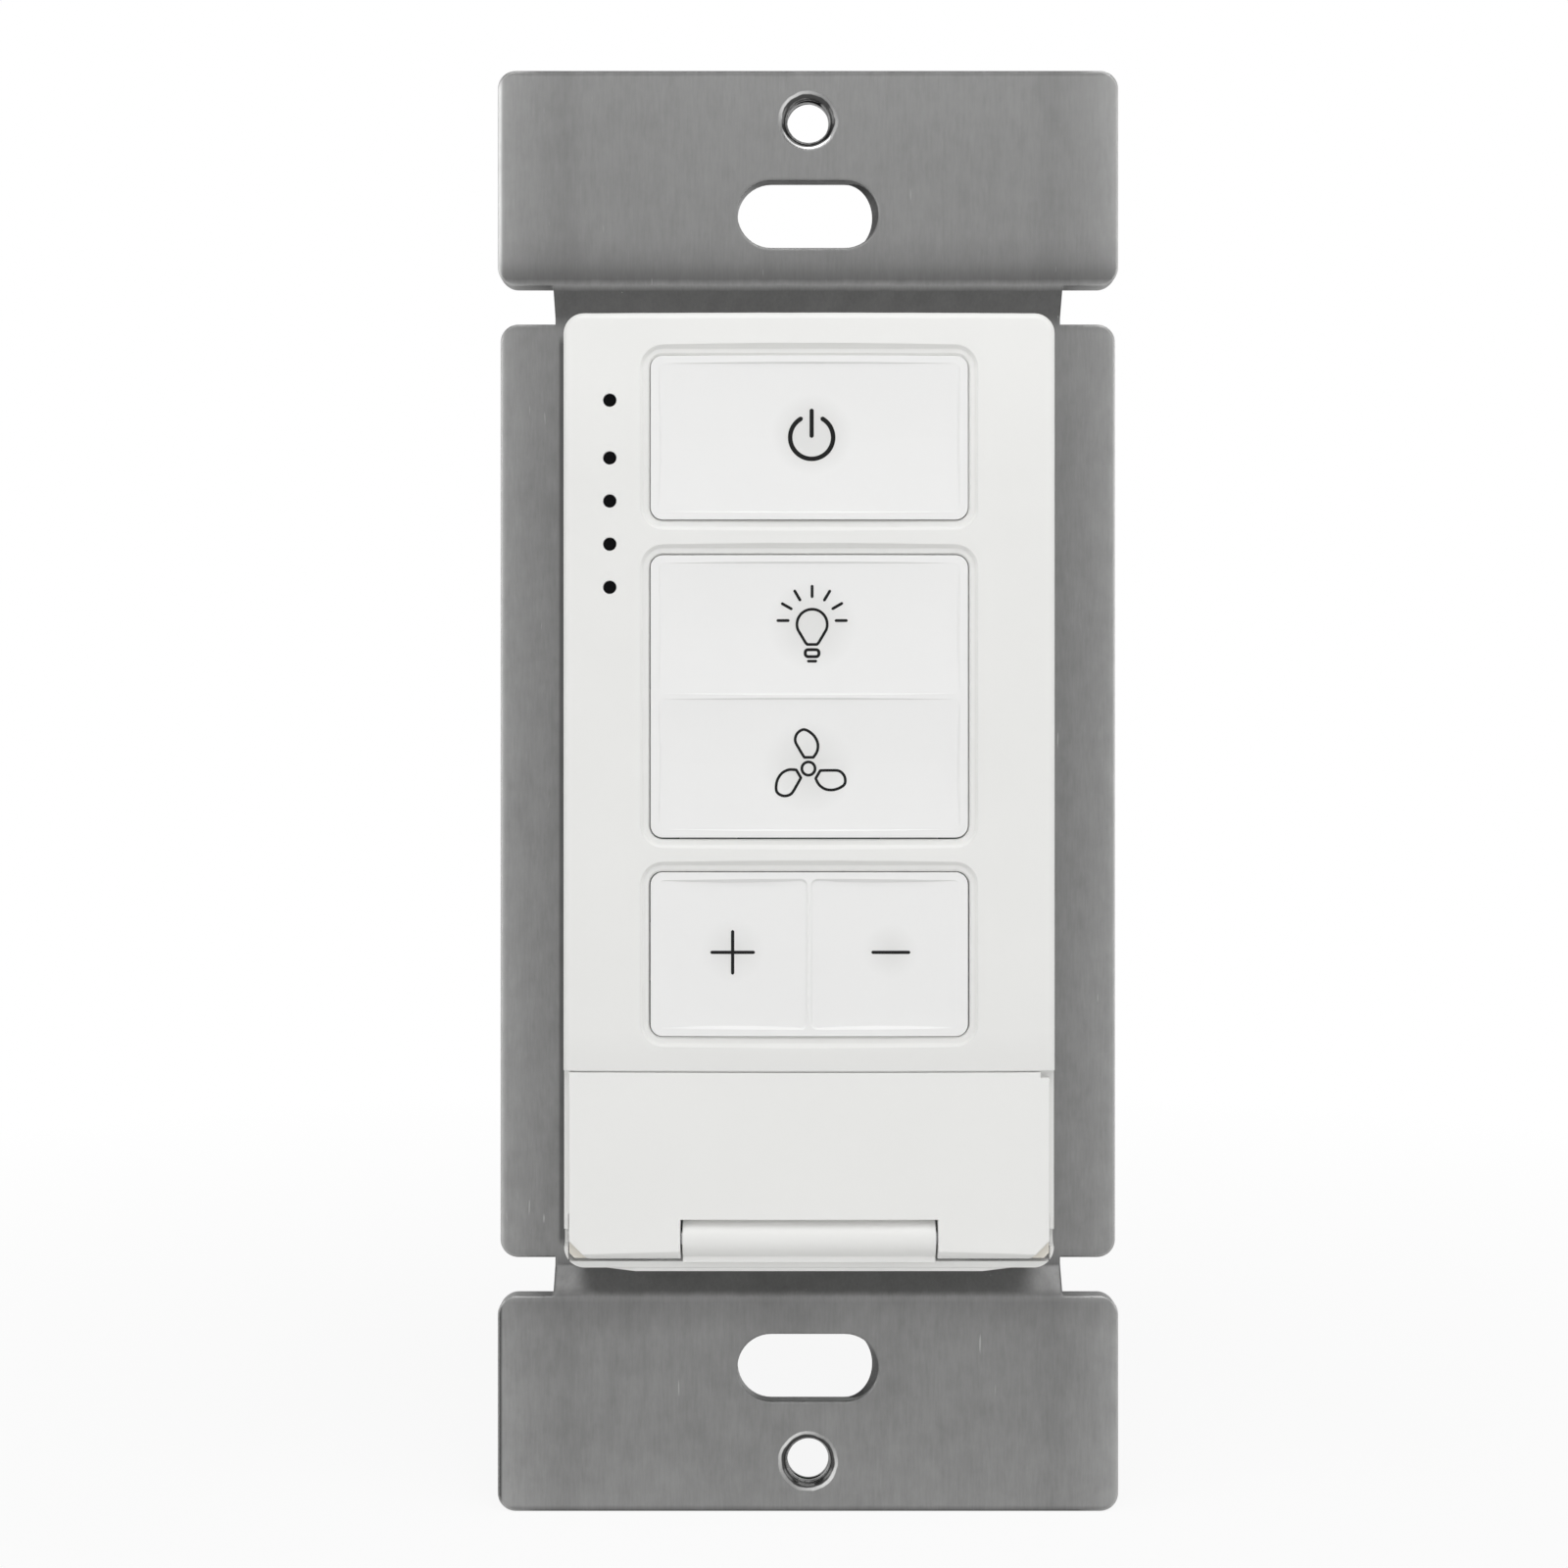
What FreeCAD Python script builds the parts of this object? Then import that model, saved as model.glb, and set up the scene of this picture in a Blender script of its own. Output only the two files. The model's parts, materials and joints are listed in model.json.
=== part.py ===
# Dimmer and fan control switch for a decorator wall box. Lengths are in millimetres.
# X runs to the right, Y into the wall and Z up. The origin is midway between the two
# plate screw holes, on the back faces of the ears, which lie on the wall.

import FreeCAD, Part
import math
import os

# Edges are picked by their place, to within this distance
near = 0.01

# Face layout, from the top edge down: its sum is the height of the face
top_margin = 2.83
power_height = 11.56
key_gap = 2.15
light_fan_height = 19.69
level_gap = 2.08
level_height = 11.56
door_gap = 2.23
door_height = 13.0
door_foot = 0.7

# Face frame, a moulded shell
face_width = 33.8
face_radius = 1.4
face_draft = 0.2
face_edge = 0.5
crown = 0.3
side_wall = 1.9
end_wall = 1.6
front_wall = 1.8
inner_radius = 0.8
rim_ledge = 0.35
rim_slope = 0.3
rim_depth = 0.35

# Keys
key_margin = 5.85
key_radius = 1.0
seam = 0.15
key_recess = 0.15
key_top = 1.4
skirt_wall = 0.8
skirt_radius = 0.5
flange_reach = 0.6
flange_thickness = 0.7
key_travel = 0.4
key_play = 0.1
rocker_tilt = 2.0
tilt_gap = 0.11
tab_length = 4.0
tab_margin = 4.05
pad_margin = 0.45
pad_radius = 0.6
pad_depth = 0.25
pad_edge = 0.1
pad_slope = 0.25
ridge = 0.2
post_radius = 1.0
post_length = 2.05
post_gap = 0.05
trunnion_radius = 0.6
pivot_drop = 0.8
bracket_standoff = 0.5
bracket_thickness = 1.0
bracket_wall = 0.9
bracket_root = 0.2
snap_gap = 1.0
running_gap = 0.05

# Key switches on the control board
switch_size = 6.2
switch_cover = 0.3
switch_floor = 0.3
plunger_radius = 1.6
plunger_proud = 0.7
plunger_flange = 0.4
plunger_flange_thickness = 0.55
plunger_lift = 0.25
light_fan_inset = 4.645
level_inset = 5.05

# Status lights and the guide that brings them to the front
light_shift = 0.365
light_drop = 3.23
light_first_pitch = 3.96
light_pitch = 2.96
light_count = 5
light_hole_radius = 0.46
guide_gap = 0.2
guide_margin = 1.1
guide_thickness = 1.0
guide_recess = 0.1
guide_column = 1.0
guide_air = 0.1
led_length = 1.0
led_width = 0.5
led_height = 0.4

# Door, its hinge at the foot and the bay behind it
door_thickness = 1.2
door_inset = 0.4
door_seam = 0.1
door_corner = 1.3
door_foot_roll = 1.5
barrel_radius = 1.35
barrel_length = 17.4
barrel_gap = 0.15
barrel_end_gap = 0.25
knuckle_length = 2.05
knuckle_step = 0.15
pin_radius = 0.6
pin_hold = 0.02
hinge_setback = 1.4
sweep_gap = 0.13
lip_width = 24.0
lip_ramp = 2.4
lip_drop = 0.3
lip_setback = 1.3
apron_setback = 0.7
bay_margin = 1.4
bay_side = 2.7
bay_depth = 2.0
bay_floor = 1.2
bay_foot = 1.04
partition = 1.7
catch_width = 4.0
catch_thickness = 0.35
catch_reach = 1.0
catch_gap = 0.15
nick = 0.4
nick_width = 0.6
latch_height = 1.8
latch_depth = 0.3
latch_drop = 3.9

# Air gap lever and trim dial in the bay
lever_margin = 7.0
lever_travel = 3.0
lever_stem = 2.0
lever_stem_height = 1.6
lever_knob = 4.4
lever_knob_height = 3.2
lever_shoe = 0.7
lever_grip = 0.9
lever_rib = 0.5
lever_rib_pitch = 1.5
lever_gap = 0.2
lever_entry = 1.8
gap_switch_wall = 1.8
gap_switch_depth = 5.2
dial_margin = 8.4
dial_radius = 3.2
dial_thickness = 1.2
dial_shaft_radius = 1.2
dial_slot = 0.8
dial_slot_depth = 0.5
trimmer_size = 6.6
trimmer_entry = 0.9
floor_air = 0.1

# Strap, pressed from one sheet
sheet = 1.2
mid_setback = 1.4
wing_overhang = 5.5
wing_margin = 1.1
notch_depth = 4.0
notch_height = 2.5
joggle_length = 2.0
ear_root = 5.17
hole_pitch = 6.75
ear_end = 3.58
corner_radius = 1.3
bend_radius = 0.5
slot_length = 10.2
slot_width = 4.9
plate_hole_radius = 1.55
draw_radius = 0.55
ground_tab_width = 8.0
ground_tab_length = 8.6
ground_tab_offset = 3.0
ground_air = 0.2
ground_relief = 0.5
window_offset = 13.0
window_width = 7.0
window_height = 17.0
strap_hole_gap = 0.2

# Boards and the plate between them
insulator_thickness = 1.0
board_thickness = 1.6
board_gap = 0.3
board_foot = 2.5
ledge_width = 1.0
ledge_height = 3.0
ledge_depth = 1.5
ledge_drops = (26.0, 45.0)
chip_size = 7.0
chip_height = 1.0
header_width = 5.0
header_height = 15.0
pin_count = 6
pin_size = 0.64
pin_reach = 3.0
header_proud = 0.6
pin_slack = 0.04
board_spacing = 6.6

# Back housing and the screws that hold it to the face frame
housing_inset = 0.9
housing_end_inset = 1.6
housing_depth = 31.0
housing_wall = 1.6
housing_radius = 3.0
housing_edge = 1.2
boss_radius = 2.0
boss_sink = 0.2
top_boss_length = 5.2
foot_boss_length = 4.2
column_radius = 3.4
spigot_radius = 2.4
spigot_gap = 0.2
screw_radius = 1.2
screw_gap = 0.1
screw_bite = 3.2
screw_head_radius = 2.3
screw_head_height = 1.6
counterbore_depth = 6.0
counterbore_gap = 0.3
recess_width = 1.0
recess_depth = 0.7
panel_width = 22.0
panel_height = 31.0
panel_depth = 0.3
panel_radius = 1.2
gauge_length = 11.0
gauge_width = 1.8
gauge_depth = 0.6
gauge_offset = 23.0
rail_height = 0.6
rail_depth = 1.6
rail_end = 4.0
barrier_thickness = 1.4
barrier_pitch = 18.5
barrier_start = 8.0
barrier_end = 3.0

# Parts on the power board
triac_width = 10.2
triac_body = 9.0
triac_tab = 6.5
triac_tab_thickness = 1.3
triac_thickness = 4.5
triac_offset = 10.5
triac_drop = 22.0
triac_lead = 0.8
triac_lead_thickness = 0.5
triac_lead_pitch = 2.54
triac_lead_run = 2.0
triac_lead_setback = 2.4
tab_screw_radius = 1.2
tab_screw_head_radius = 2.4
tab_screw_head = 1.8
tab_hole_gap = 0.3
part_gap = 1.2
side_gap = 0.3
choke_gap = 0.6
choke_winding = 4.3
choke_height = 7.0
choke_edge = 1.5
choke_base = 1.0
top_gap = 2.4
can_radius = 4.8
can_height = 16.0
relay_gap = 0.9
relay_height = 15.5
foot_gap = 1.5
case_gap = 0.5
capacitor_long = 17.5
capacitor_short = 8.8
capacitor_height = 14.5
varistor_radius = 3.6
varistor_thickness = 4.0
varistor_standoff = 1.5
lead_radius = 0.4
fuse_radius = 4.2
fuse_height = 8.0
case_edge = 0.6

# Terminals in pockets of the housing's sides
terminal_offset = 11.0
terminal_centre = 22.0
pocket_size = 10.0
pocket_depth = 6.0
pocket_wall = 1.5
pocket_floor = 2.6
contact_thickness = 1.0
contact_leg = 2.4
leg_gap = 0.1
contact_margin = 0.5
clamp_thickness = 1.0
clamp_margin = 0.4
clamp_play = 0.1
terminal_screw_radius = 2.0
terminal_head_radius = 3.5
terminal_head = 2.0
terminal_tail = 1.4
tail_gap = 0.2
wire_radius = 1.25
wire_pitch = 5.4
wire_lead_in = 0.6

# Ground screw through the strap's tab
ground_screw_radius = 2.0
ground_hex = 6.35
ground_hex_height = 2.2
ground_washer_radius = 3.9
ground_washer = 0.4
ground_screw_reach = 2.2
ground_screw_gap = 0.4
ground_pocket_gap = 0.5
ground_pocket_wall = 1.2

# Heights of the face, the strap and what lies between
face_height = (top_margin + power_height + key_gap + light_fan_height + level_gap
               + level_height + door_gap + door_height + door_foot)
face_top = face_height / 2
face_half = face_width / 2
key_width = face_width - 2 * key_margin
door_half = face_half - door_inset
power_z = face_top - top_margin - power_height / 2
light_fan_z = power_z - power_height / 2 - key_gap - light_fan_height / 2
level_z = light_fan_z - light_fan_height / 2 - level_gap - level_height / 2
tab_offset = key_width / 2 - tab_margin
light_fan_arm = light_fan_height / 2 - light_fan_inset
level_arm = key_width / 2 - level_inset
door_top = level_z - level_height / 2 - door_gap
door_bottom = door_top - door_height
wing_end = face_top + wing_margin
ear_inner = wing_end + notch_height
slot_z = ear_inner + ear_root
plate_hole_z = slot_z + hole_pitch
strap_end = plate_hole_z + ear_end
strap_half = face_half + wing_overhang
inner_half = face_half - side_wall
inner_top = face_top - end_wall
lever_offset = inner_half - lever_margin
dial_offset = inner_half - dial_margin

# Depths, from the wall plane forward and back
ear_front = -sheet
strap_front = ear_front + mid_setback
strap_back = strap_front + sheet
board_back = strap_front - insulator_thickness
board_front = board_back - board_thickness
switch_room = plunger_lift + plunger_flange_thickness + key_travel + key_play
switch_front = board_front - switch_cover - switch_room - switch_floor
plunger_front = switch_front - plunger_proud
key_back = plunger_front - post_length
key_front = key_back - key_top
face_front = key_front - key_recess
face_depth = strap_front - face_front
wall_back = face_front + front_wall
crown_radius = face_half ** 2 / (2 * crown)
pivot_y = wall_back + pivot_drop
rocker_headroom = key_width / 2 * math.sin(math.radians(rocker_tilt)) + tilt_gap
seat_y = face_front + door_thickness
bay_y = seat_y + bay_depth
bay_back = bay_y + bay_floor
hinge_y = face_front + hinge_setback
hinge_z = door_bottom + barrel_radius
power_front = strap_back + board_spacing
power_back = power_front + board_thickness
housing_back = strap_back + housing_depth
housing_half = strap_half - housing_inset
housing_end = wing_end - housing_end_inset

# Places shared by several pieces
screw_x = inner_half - boss_radius + boss_sink
screw_z = inner_top - boss_radius + boss_sink
flange_edge = key_width / 2 + flange_reach
guide_x = -(inner_half + flange_edge) / 2
guide_width = inner_half - flange_edge - 2 * guide_gap
light_x = guide_x - light_shift
socket_front = strap_back + header_proud
gap_switch_front = power_front - gap_switch_depth
trimmer_front = bay_back + floor_air
light_z = [face_top - top_margin - light_drop]
light_z += [light_z[0] - light_first_pitch - light_pitch * step for step in range(light_count - 1)]
barrel_half = barrel_length / 2
notch_half = barrel_half + barrel_gap
knuckle_start = barrel_half + barrel_end_gap
sweep_radius = door_foot_roll + sweep_gap
bay_top = door_top - bay_margin
bay_bottom = hinge_z + sweep_radius + bay_foot
bay_half = face_half - bay_side
bay_z = (bay_top + bay_bottom) / 2
window_z = face_top - window_offset - header_height / 2
triac_z = power_z - triac_drop
ground_x = ground_tab_offset
ground_top = -housing_end - ground_air
ground_screw_y = strap_back + ground_tab_length - ground_washer_radius - ground_screw_gap
board_half = inner_half - board_gap
chip_x = (board_half + switch_size / 2) / 2
board_top = inner_top - board_gap
board_bottom = board_foot - inner_top
power_half = housing_half - housing_wall - board_gap
power_top = housing_end - housing_wall - board_gap
power_bottom = (ground_screw_reach + ground_pocket_gap + ground_pocket_wall + board_gap) - housing_end
contact_x = housing_half - pocket_depth
clamp_x = contact_x + contact_thickness
part_edge = contact_x - pocket_floor - side_gap
choke_radius = part_edge - can_radius - choke_gap / 2
choke_eye = choke_radius - choke_winding
choke_x = choke_radius - part_edge
choke_z = power_top - top_gap - choke_radius
relay_width = 2 * part_edge - capacitor_short - relay_gap
relay_length = (choke_z - choke_radius - power_bottom - foot_gap - capacitor_short - 2 * fuse_radius
                - 3 * part_gap)
relay_x = relay_width / 2 - part_edge
relay_z = choke_z - choke_radius - part_gap - relay_length / 2
wide_case_length = 2 * (part_edge - varistor_radius) - case_gap
wide_case_x = wide_case_length / 2 - part_edge
wide_case_z = relay_z - relay_length / 2 - part_gap - capacitor_short / 2
can_x = part_edge - can_radius
can_z = choke_z
tall_case_x = part_edge - capacitor_short / 2
tall_case_z = can_z - can_radius - part_gap - capacitor_long / 2
varistor_x = part_edge - varistor_radius
varistor_z = tall_case_z - capacitor_long / 2 - part_gap - varistor_thickness / 2
fuse_x = part_edge - fuse_radius
fuse_z = wide_case_z - capacitor_short / 2 - part_gap - fuse_radius
switch_places = {
    "power": (0.0, power_z),
    "light": (0.0, light_fan_z + light_fan_arm),
    "fan": (0.0, light_fan_z - light_fan_arm),
    "plus": (-level_arm, level_z),
    "minus": (level_arm, level_z),
}
terminal_places = {
    "line": (-1, terminal_offset),
    "neutral": (-1, -terminal_offset),
    "light": (1, terminal_offset),
    "fan": (1, -terminal_offset),
}


def vec(x, y, z):
    return FreeCAD.Vector(x, y, z)


def span(centre, size):
    return centre - size / 2, centre + size / 2


def block(x_span, y_span, z_span):
    sizes = [high - low for low, high in (x_span, y_span, z_span)]
    return Part.makeBox(*sizes, vec(x_span[0], y_span[0], z_span[0]))


def rod_x(y, z, radius, x_span):
    return Part.makeCylinder(radius, x_span[1] - x_span[0], vec(x_span[0], y, z), vec(1, 0, 0))


def rod_y(x, z, radius, y_span):
    return Part.makeCylinder(radius, y_span[1] - y_span[0], vec(x, y_span[0], z), vec(0, 1, 0))


def rod_z(x, y, radius, z_span):
    return Part.makeCylinder(radius, z_span[1] - z_span[0], vec(x, y, z_span[0]), vec(0, 0, 1))


def outline(width, height, radius, y, x=0.0, z=0.0):
    # a rounded rectangle in the plane at y
    edges = []
    ends = []
    for turn, (side_x, side_z) in enumerate([(1, 1), (-1, 1), (-1, -1), (1, -1)]):
        middle = vec(x + side_x * (width / 2 - radius), y, z + side_z * (height / 2 - radius))
        angles = [math.radians(90 * turn + step) for step in (0, 45, 90)]
        points = [middle + vec(radius * math.cos(a), 0, radius * math.sin(a)) for a in angles]
        edges.append(Part.Arc(*points).toShape())
        ends.append((points[0], points[-1]))
    for turn in range(4):
        edges.append(Part.makeLine(ends[turn][1], ends[(turn + 1) % 4][0]))
    return Part.Wire(Part.sortEdges(edges)[0])


def plate(width, height, radius, y_span, x=0.0, z=0.0):
    face = Part.Face(outline(width, height, radius, y_span[0], x, z))
    return face.extrude(vec(0, y_span[1] - y_span[0], 0))


def obround(length, width, y_span, x, z):
    # a slot with round ends, its long way along X
    straight = length - width
    ends = [rod_y(x + side * straight / 2, z, width / 2, y_span) for side in (-1, 1)]
    return join(block(span(x, straight), y_span, span(z, width)), *ends)


def join(*shapes):
    return shapes[0].multiFuse(list(shapes[1:])).removeSplitter()


def less(body, *tools):
    return body.cut(list(tools))


def mirrored(shape):
    return shape.mirror(vec(0, 0, 0), vec(1, 0, 0))


# Strap

def strap_side_view():
    # the sheet seen from the side, swept across its full width, with true bend radii
    angle = math.atan2(mid_setback, joggle_length)
    shift = sheet * math.tan(angle / 2)
    joggle_end = ear_inner - joggle_length
    front = [(ear_front, strap_end), (ear_front, ear_inner), (strap_front, joggle_end)]
    back = [(0.0, strap_end), (0.0, ear_inner + shift), (strap_back, joggle_end + shift)]
    loop = front + [(y, -z) for y, z in reversed(front)] + [(y, -z) for y, z in back] + back[::-1]
    corners = [vec(-strap_half, y, z) for y, z in loop]
    sheet_body = Part.Face(Part.makePolygon(corners + corners[:1])).extrude(vec(2 * strap_half, 0, 0))
    for y, z, radius in (
        (ear_front, ear_inner, bend_radius + sheet),
        (0.0, ear_inner + shift, bend_radius),
        (strap_front, joggle_end, bend_radius),
        (strap_back, joggle_end + shift, bend_radius + sheet),
    ):
        bends = [edge for edge in sheet_body.Edges if lies_along_x(edge, y, z)]
        sheet_body = sheet_body.makeFillet(radius, bends)
    return sheet_body


def lies_along_x(edge, y, z):
    box = edge.BoundBox
    return (box.XLength > strap_half and abs(box.YMin - y) < near and abs(box.YMax - y) < near
            and abs(abs(box.ZMin) - z) < near and abs(abs(box.ZMax) - z) < near)


def strap_front_view():
    # ears, neck and wings as one flat blank
    depth = (ear_front - sheet, strap_back + sheet)
    ear_height = strap_end - ear_inner
    ears = [plate(2 * strap_half, ear_height, corner_radius, depth, z=side * (strap_end - ear_height / 2))
            for side in (-1, 1)]
    wings = plate(2 * strap_half, 2 * wing_end, corner_radius, depth)
    neck = block(span(0, 2 * (strap_half - notch_depth)), depth, span(0, 2 * slot_z))
    return join(neck, wings, *ears)


def ground_tab():
    # a tongue lanced from the sheet and folded back under the housing
    across = span(ground_x, ground_tab_width)
    tab = block(across, (strap_front, strap_back + ground_tab_length), (ground_top - sheet, ground_top))
    rim = [edge for edge in tab.Edges
           if edge.BoundBox.YMax < strap_front + near and edge.BoundBox.ZMin > ground_top - near]
    return tab.makeFillet(bend_radius, rim)


def ground_window():
    across = span(ground_x, ground_tab_width + 2 * ground_relief)
    return block(across, (strap_front - sheet, strap_back + sheet),
                 (ground_top, ground_top + ground_tab_length))


def strap():
    sides = (-1, 1)
    through = (ear_front - sheet, strap_back + sheet)
    body = strap_side_view().common(strap_front_view())
    body = less(body, *[rod_y(0, side * plate_hole_z, plate_hole_radius, through) for side in sides])
    mouths = [edge for edge in body.Edges
              if isinstance(edge.Curve, Part.Circle) and abs(edge.Curve.Radius - plate_hole_radius) < near
              and edge.BoundBox.YMax < ear_front + near]
    body = body.makeFillet(draw_radius, mouths)
    cuts = [obround(slot_length, slot_width, through, 0, side * slot_z) for side in sides]
    cuts += [rod_y(x * screw_x, z * screw_z, screw_radius + strap_hole_gap, through)
             for x in sides for z in sides]
    cuts += [rod_y(side * triac_offset, triac_z, tab_screw_radius + running_gap, through) for side in sides]
    cuts.append(block(span(0, window_width), through, span(window_z, window_height)))
    cuts.append(lever_passage(through))
    cuts.append(ground_window())
    body = join(less(body, *cuts), ground_tab())
    tapped = rod_z(ground_x, ground_screw_y, ground_screw_radius + running_gap,
                   (ground_top - 2 * sheet, ground_top + sheet))
    return less(body, tapped)


def lever_passage(y_span, wall=0.0):
    # the slot that the air gap lever's stem slides in, or the block that leaves a wall round it
    start = -lever_offset - lever_stem / 2 - lever_gap - wall
    stop = -lever_offset + lever_travel + lever_stem / 2 + lever_gap + wall
    return block((start, stop), y_span, span(bay_z, lever_stem_height + 2 * lever_gap + 2 * wall))


# Face frame

def draft_at(y):
    return 2 * face_draft * (y - face_front) / face_depth


def dome(y):
    # everything behind the crowned front surface whose top line is at y
    return rod_z(0, y + crown_radius, crown_radius, span(0, 2 * face_height))


def face_blank():
    # the outer form of the face with the door shut: drafted, crowned and rounded at its front edge
    ends = [outline(face_width + draft_at(y), face_height + draft_at(y), face_radius, y)
            for y in (face_front - crown, strap_front)]
    blank = Part.makeLoft(ends, True, True).common(dome(face_front))
    rim = [edge for edge in blank.Edges if edge.BoundBox.YMax < face_front + 2 * crown]
    return blank.makeFillet(face_edge, rim)


def key_opening(height, z):
    # the hole for a key, in a shallow recess with sloped sides
    through = (face_front - crown, wall_back + crown)
    hole = plate(key_width, height, key_radius, through, z=z)
    rings = []
    for y, reach in ((face_front - crown, rim_ledge + rim_slope * (1 + crown / rim_depth)),
                     (face_front + rim_depth, rim_ledge)):
        rings.append(outline(key_width + 2 * reach, height + 2 * reach, key_radius + reach, y, z=z))
    return join(hole, Part.makeLoft(rings, True, True))


def door_space():
    # everything in front of the door's seat, up to the seam above the door
    return block(span(0, 2 * face_width), (face_front - 2 * crown, seat_y),
                 (-face_height, door_top))


def hinge_sweep():
    # the round the door's foot turns in, on both sides of the barrel
    reach = (barrel_half, door_half + sweep_gap)
    sweep = rod_x(hinge_y, hinge_z, sweep_radius, reach)
    return [sweep, mirrored(sweep)]


def foot_lip():
    # the bowed lip below the door, ramped at both ends
    low = -face_top - lip_drop
    high = -inner_top
    half = lip_width / 2
    outer = half + lip_ramp
    corners = [(-outer, low + lip_drop), (-half, low), (half, low), (outer, low + lip_drop),
               (outer, high), (-outer, high)]
    points = [vec(x, face_front + lip_setback, z) for x, z in corners]
    face = Part.Face(Part.makePolygon(points + points[:1]))
    return face.extrude(vec(0, bay_back - face_front - lip_setback, 0))


def hinge_barrel():
    # the fixed knuckle that the door's notch leaves free, with an apron down to the lip
    across = span(0, barrel_length)
    barrel = rod_x(hinge_y, hinge_z, barrel_radius, across)
    apron = block(across, (face_front + apron_setback, hinge_y), (hinge_z - sweep_radius, hinge_z))
    return join(barrel, apron)


def bracket():
    # a snap bearing for a trunnion, on the pivot line from x = 0 on, open towards the back
    wide = 2 * (trunnion_radius + bracket_wall)
    back = pivot_y + trunnion_radius + bracket_wall / 2
    body = block((0, bracket_thickness), (wall_back - bracket_root, back), span(0, wide))
    through = (-bracket_thickness, 2 * bracket_thickness)
    bore = rod_x(pivot_y, 0, trunnion_radius + running_gap, through)
    mouth = block(through, (pivot_y, back + bracket_wall), span(0, snap_gap))
    return less(body, bore, mouth)


def brackets():
    side = bracket()
    side.translate(vec(key_width / 2 + bracket_standoff, 0, light_fan_z))
    pair = [side, mirrored(side)]
    for way in (-1, 1):
        end = bracket()
        end.rotate(vec(0, 0, 0), vec(0, 1, 0), -90 * way)
        end.translate(vec(0, 0, level_z + way * (level_height / 2 + bracket_standoff)))
        pair.append(end)
    return pair


def board_ledges():
    ledges = []
    for drop in ledge_drops:
        z = face_top - drop
        ledge = block((inner_half - ledge_width, inner_half + boss_sink),
                      (board_front - ledge_depth, board_front), span(z, ledge_height))
        ledges += [ledge, mirrored(ledge)]
    return ledges


def screw_bosses():
    bosses = []
    for side_z, length in ((1, top_boss_length), (-1, foot_boss_length)):
        for side_x in (-1, 1):
            bosses.append(rod_y(side_x * screw_x, side_z * screw_z, boss_radius,
                                (strap_front - length, strap_front)))
    return bosses


def screw_pilots():
    depth = (strap_front - screw_bite - screw_gap, strap_front + sheet)
    return [rod_y(side_x * screw_x, side_z * screw_z, screw_radius + pin_hold, depth)
            for side_x in (-1, 1) for side_z in (-1, 1)]


def snap_latch_mark():
    # a shallow catch window in the left side wall
    z = (face_top - top_margin - latch_drop - latch_height, face_top - top_margin - latch_drop)
    return block((-face_half - face_draft, latch_depth - face_half),
                 (wall_back, wall_back + 2 * front_wall), z)


def face_frame():
    upper_low = bay_top + partition
    inside_height = inner_top - upper_low
    cavity = plate(2 * inner_half, inside_height, inner_radius, (wall_back, strap_front + sheet),
                   z=upper_low + inside_height / 2)
    lower_cavity = plate(2 * inner_half, 2 * inner_top, inner_radius, (bay_back, strap_front + sheet))
    bay_height = bay_top - bay_bottom
    bay = plate(2 * bay_half, bay_height, inner_radius, (face_front - crown, bay_y), z=bay_z)
    body = join(less(face_blank(), door_space()), foot_lip())
    body = less(body, cavity, lower_cavity, bay, *hinge_sweep())
    body = join(body, hinge_barrel(), *screw_bosses(), *board_ledges(), *brackets())
    cuts = [key_opening(power_height, power_z), key_opening(light_fan_height, light_fan_z),
            key_opening(level_height, level_z)]
    cuts += [rod_y(light_x, z, light_hole_radius, (face_front - crown, wall_back + crown)) for z in light_z]
    cuts += screw_pilots()
    cuts.append(rod_x(hinge_y, hinge_z, pin_radius + pin_hold, span(0, 2 * barrel_length)))
    cuts.append(lever_passage((bay_y - sheet, bay_back + sheet)))
    cuts.append(rod_y(dial_offset, bay_z, dial_shaft_radius + running_gap, (bay_y - sheet, bay_back + sheet)))
    cuts.append(snap_latch_mark())
    return less(body, *cuts)


# Keys

def pad_dish(width, height, x, z, across):
    # a finger dish with sloped edges, hollowed round a line along X or Z
    wider = pad_slope * crown / pad_depth
    front = outline(width + 2 * wider, height + 2 * wider, pad_radius, key_front - crown, x, z)
    floor = outline(width - 2 * pad_slope, height - 2 * pad_slope, pad_radius - pad_slope,
                    key_front + pad_depth, x, z)
    well = Part.makeLoft([front, floor], True, True)
    reach = (height if across else width) / 2
    radius = reach ** 2 / (2 * (pad_depth - pad_edge))
    axis_y = key_front + pad_depth - radius
    if across:
        hollow = rod_x(axis_y, z, radius, span(x, 2 * width))
    else:
        hollow = rod_z(x, axis_y, radius, span(z, 2 * height))
    return well.common(hollow)


def key_shell(height, z, skirt_back):
    width = key_width - 2 * seam
    tall = height - 2 * seam
    shell = plate(width, tall, key_radius - seam, (key_front - crown, skirt_back), z=z)
    hollow = plate(width - 2 * skirt_wall, tall - 2 * skirt_wall, skirt_radius,
                   (key_back, skirt_back + skirt_wall), z=z)
    return less(shell.common(dome(key_front)), hollow)


def post(x, z, end):
    return rod_y(x, z, post_radius, (key_back - key_top / 2, end))


def power_key():
    skirt_back = wall_back + flange_thickness
    flange = plate(key_width + 2 * flange_reach, power_height + 2 * flange_reach, key_radius,
                   (wall_back, skirt_back), z=power_z)
    room = plate(key_width - 2 * seam - 2 * skirt_wall, power_height - 2 * seam - 2 * skirt_wall,
                 skirt_radius, (wall_back - seam, skirt_back + seam), z=power_z)
    body = join(key_shell(power_height, power_z, skirt_back), less(flange, room),
                post(0, power_z, plunger_front))
    pad = 2 * (seam + pad_margin)
    return less(body, pad_dish(key_width - pad, power_height - pad, 0, power_z, True))


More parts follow.
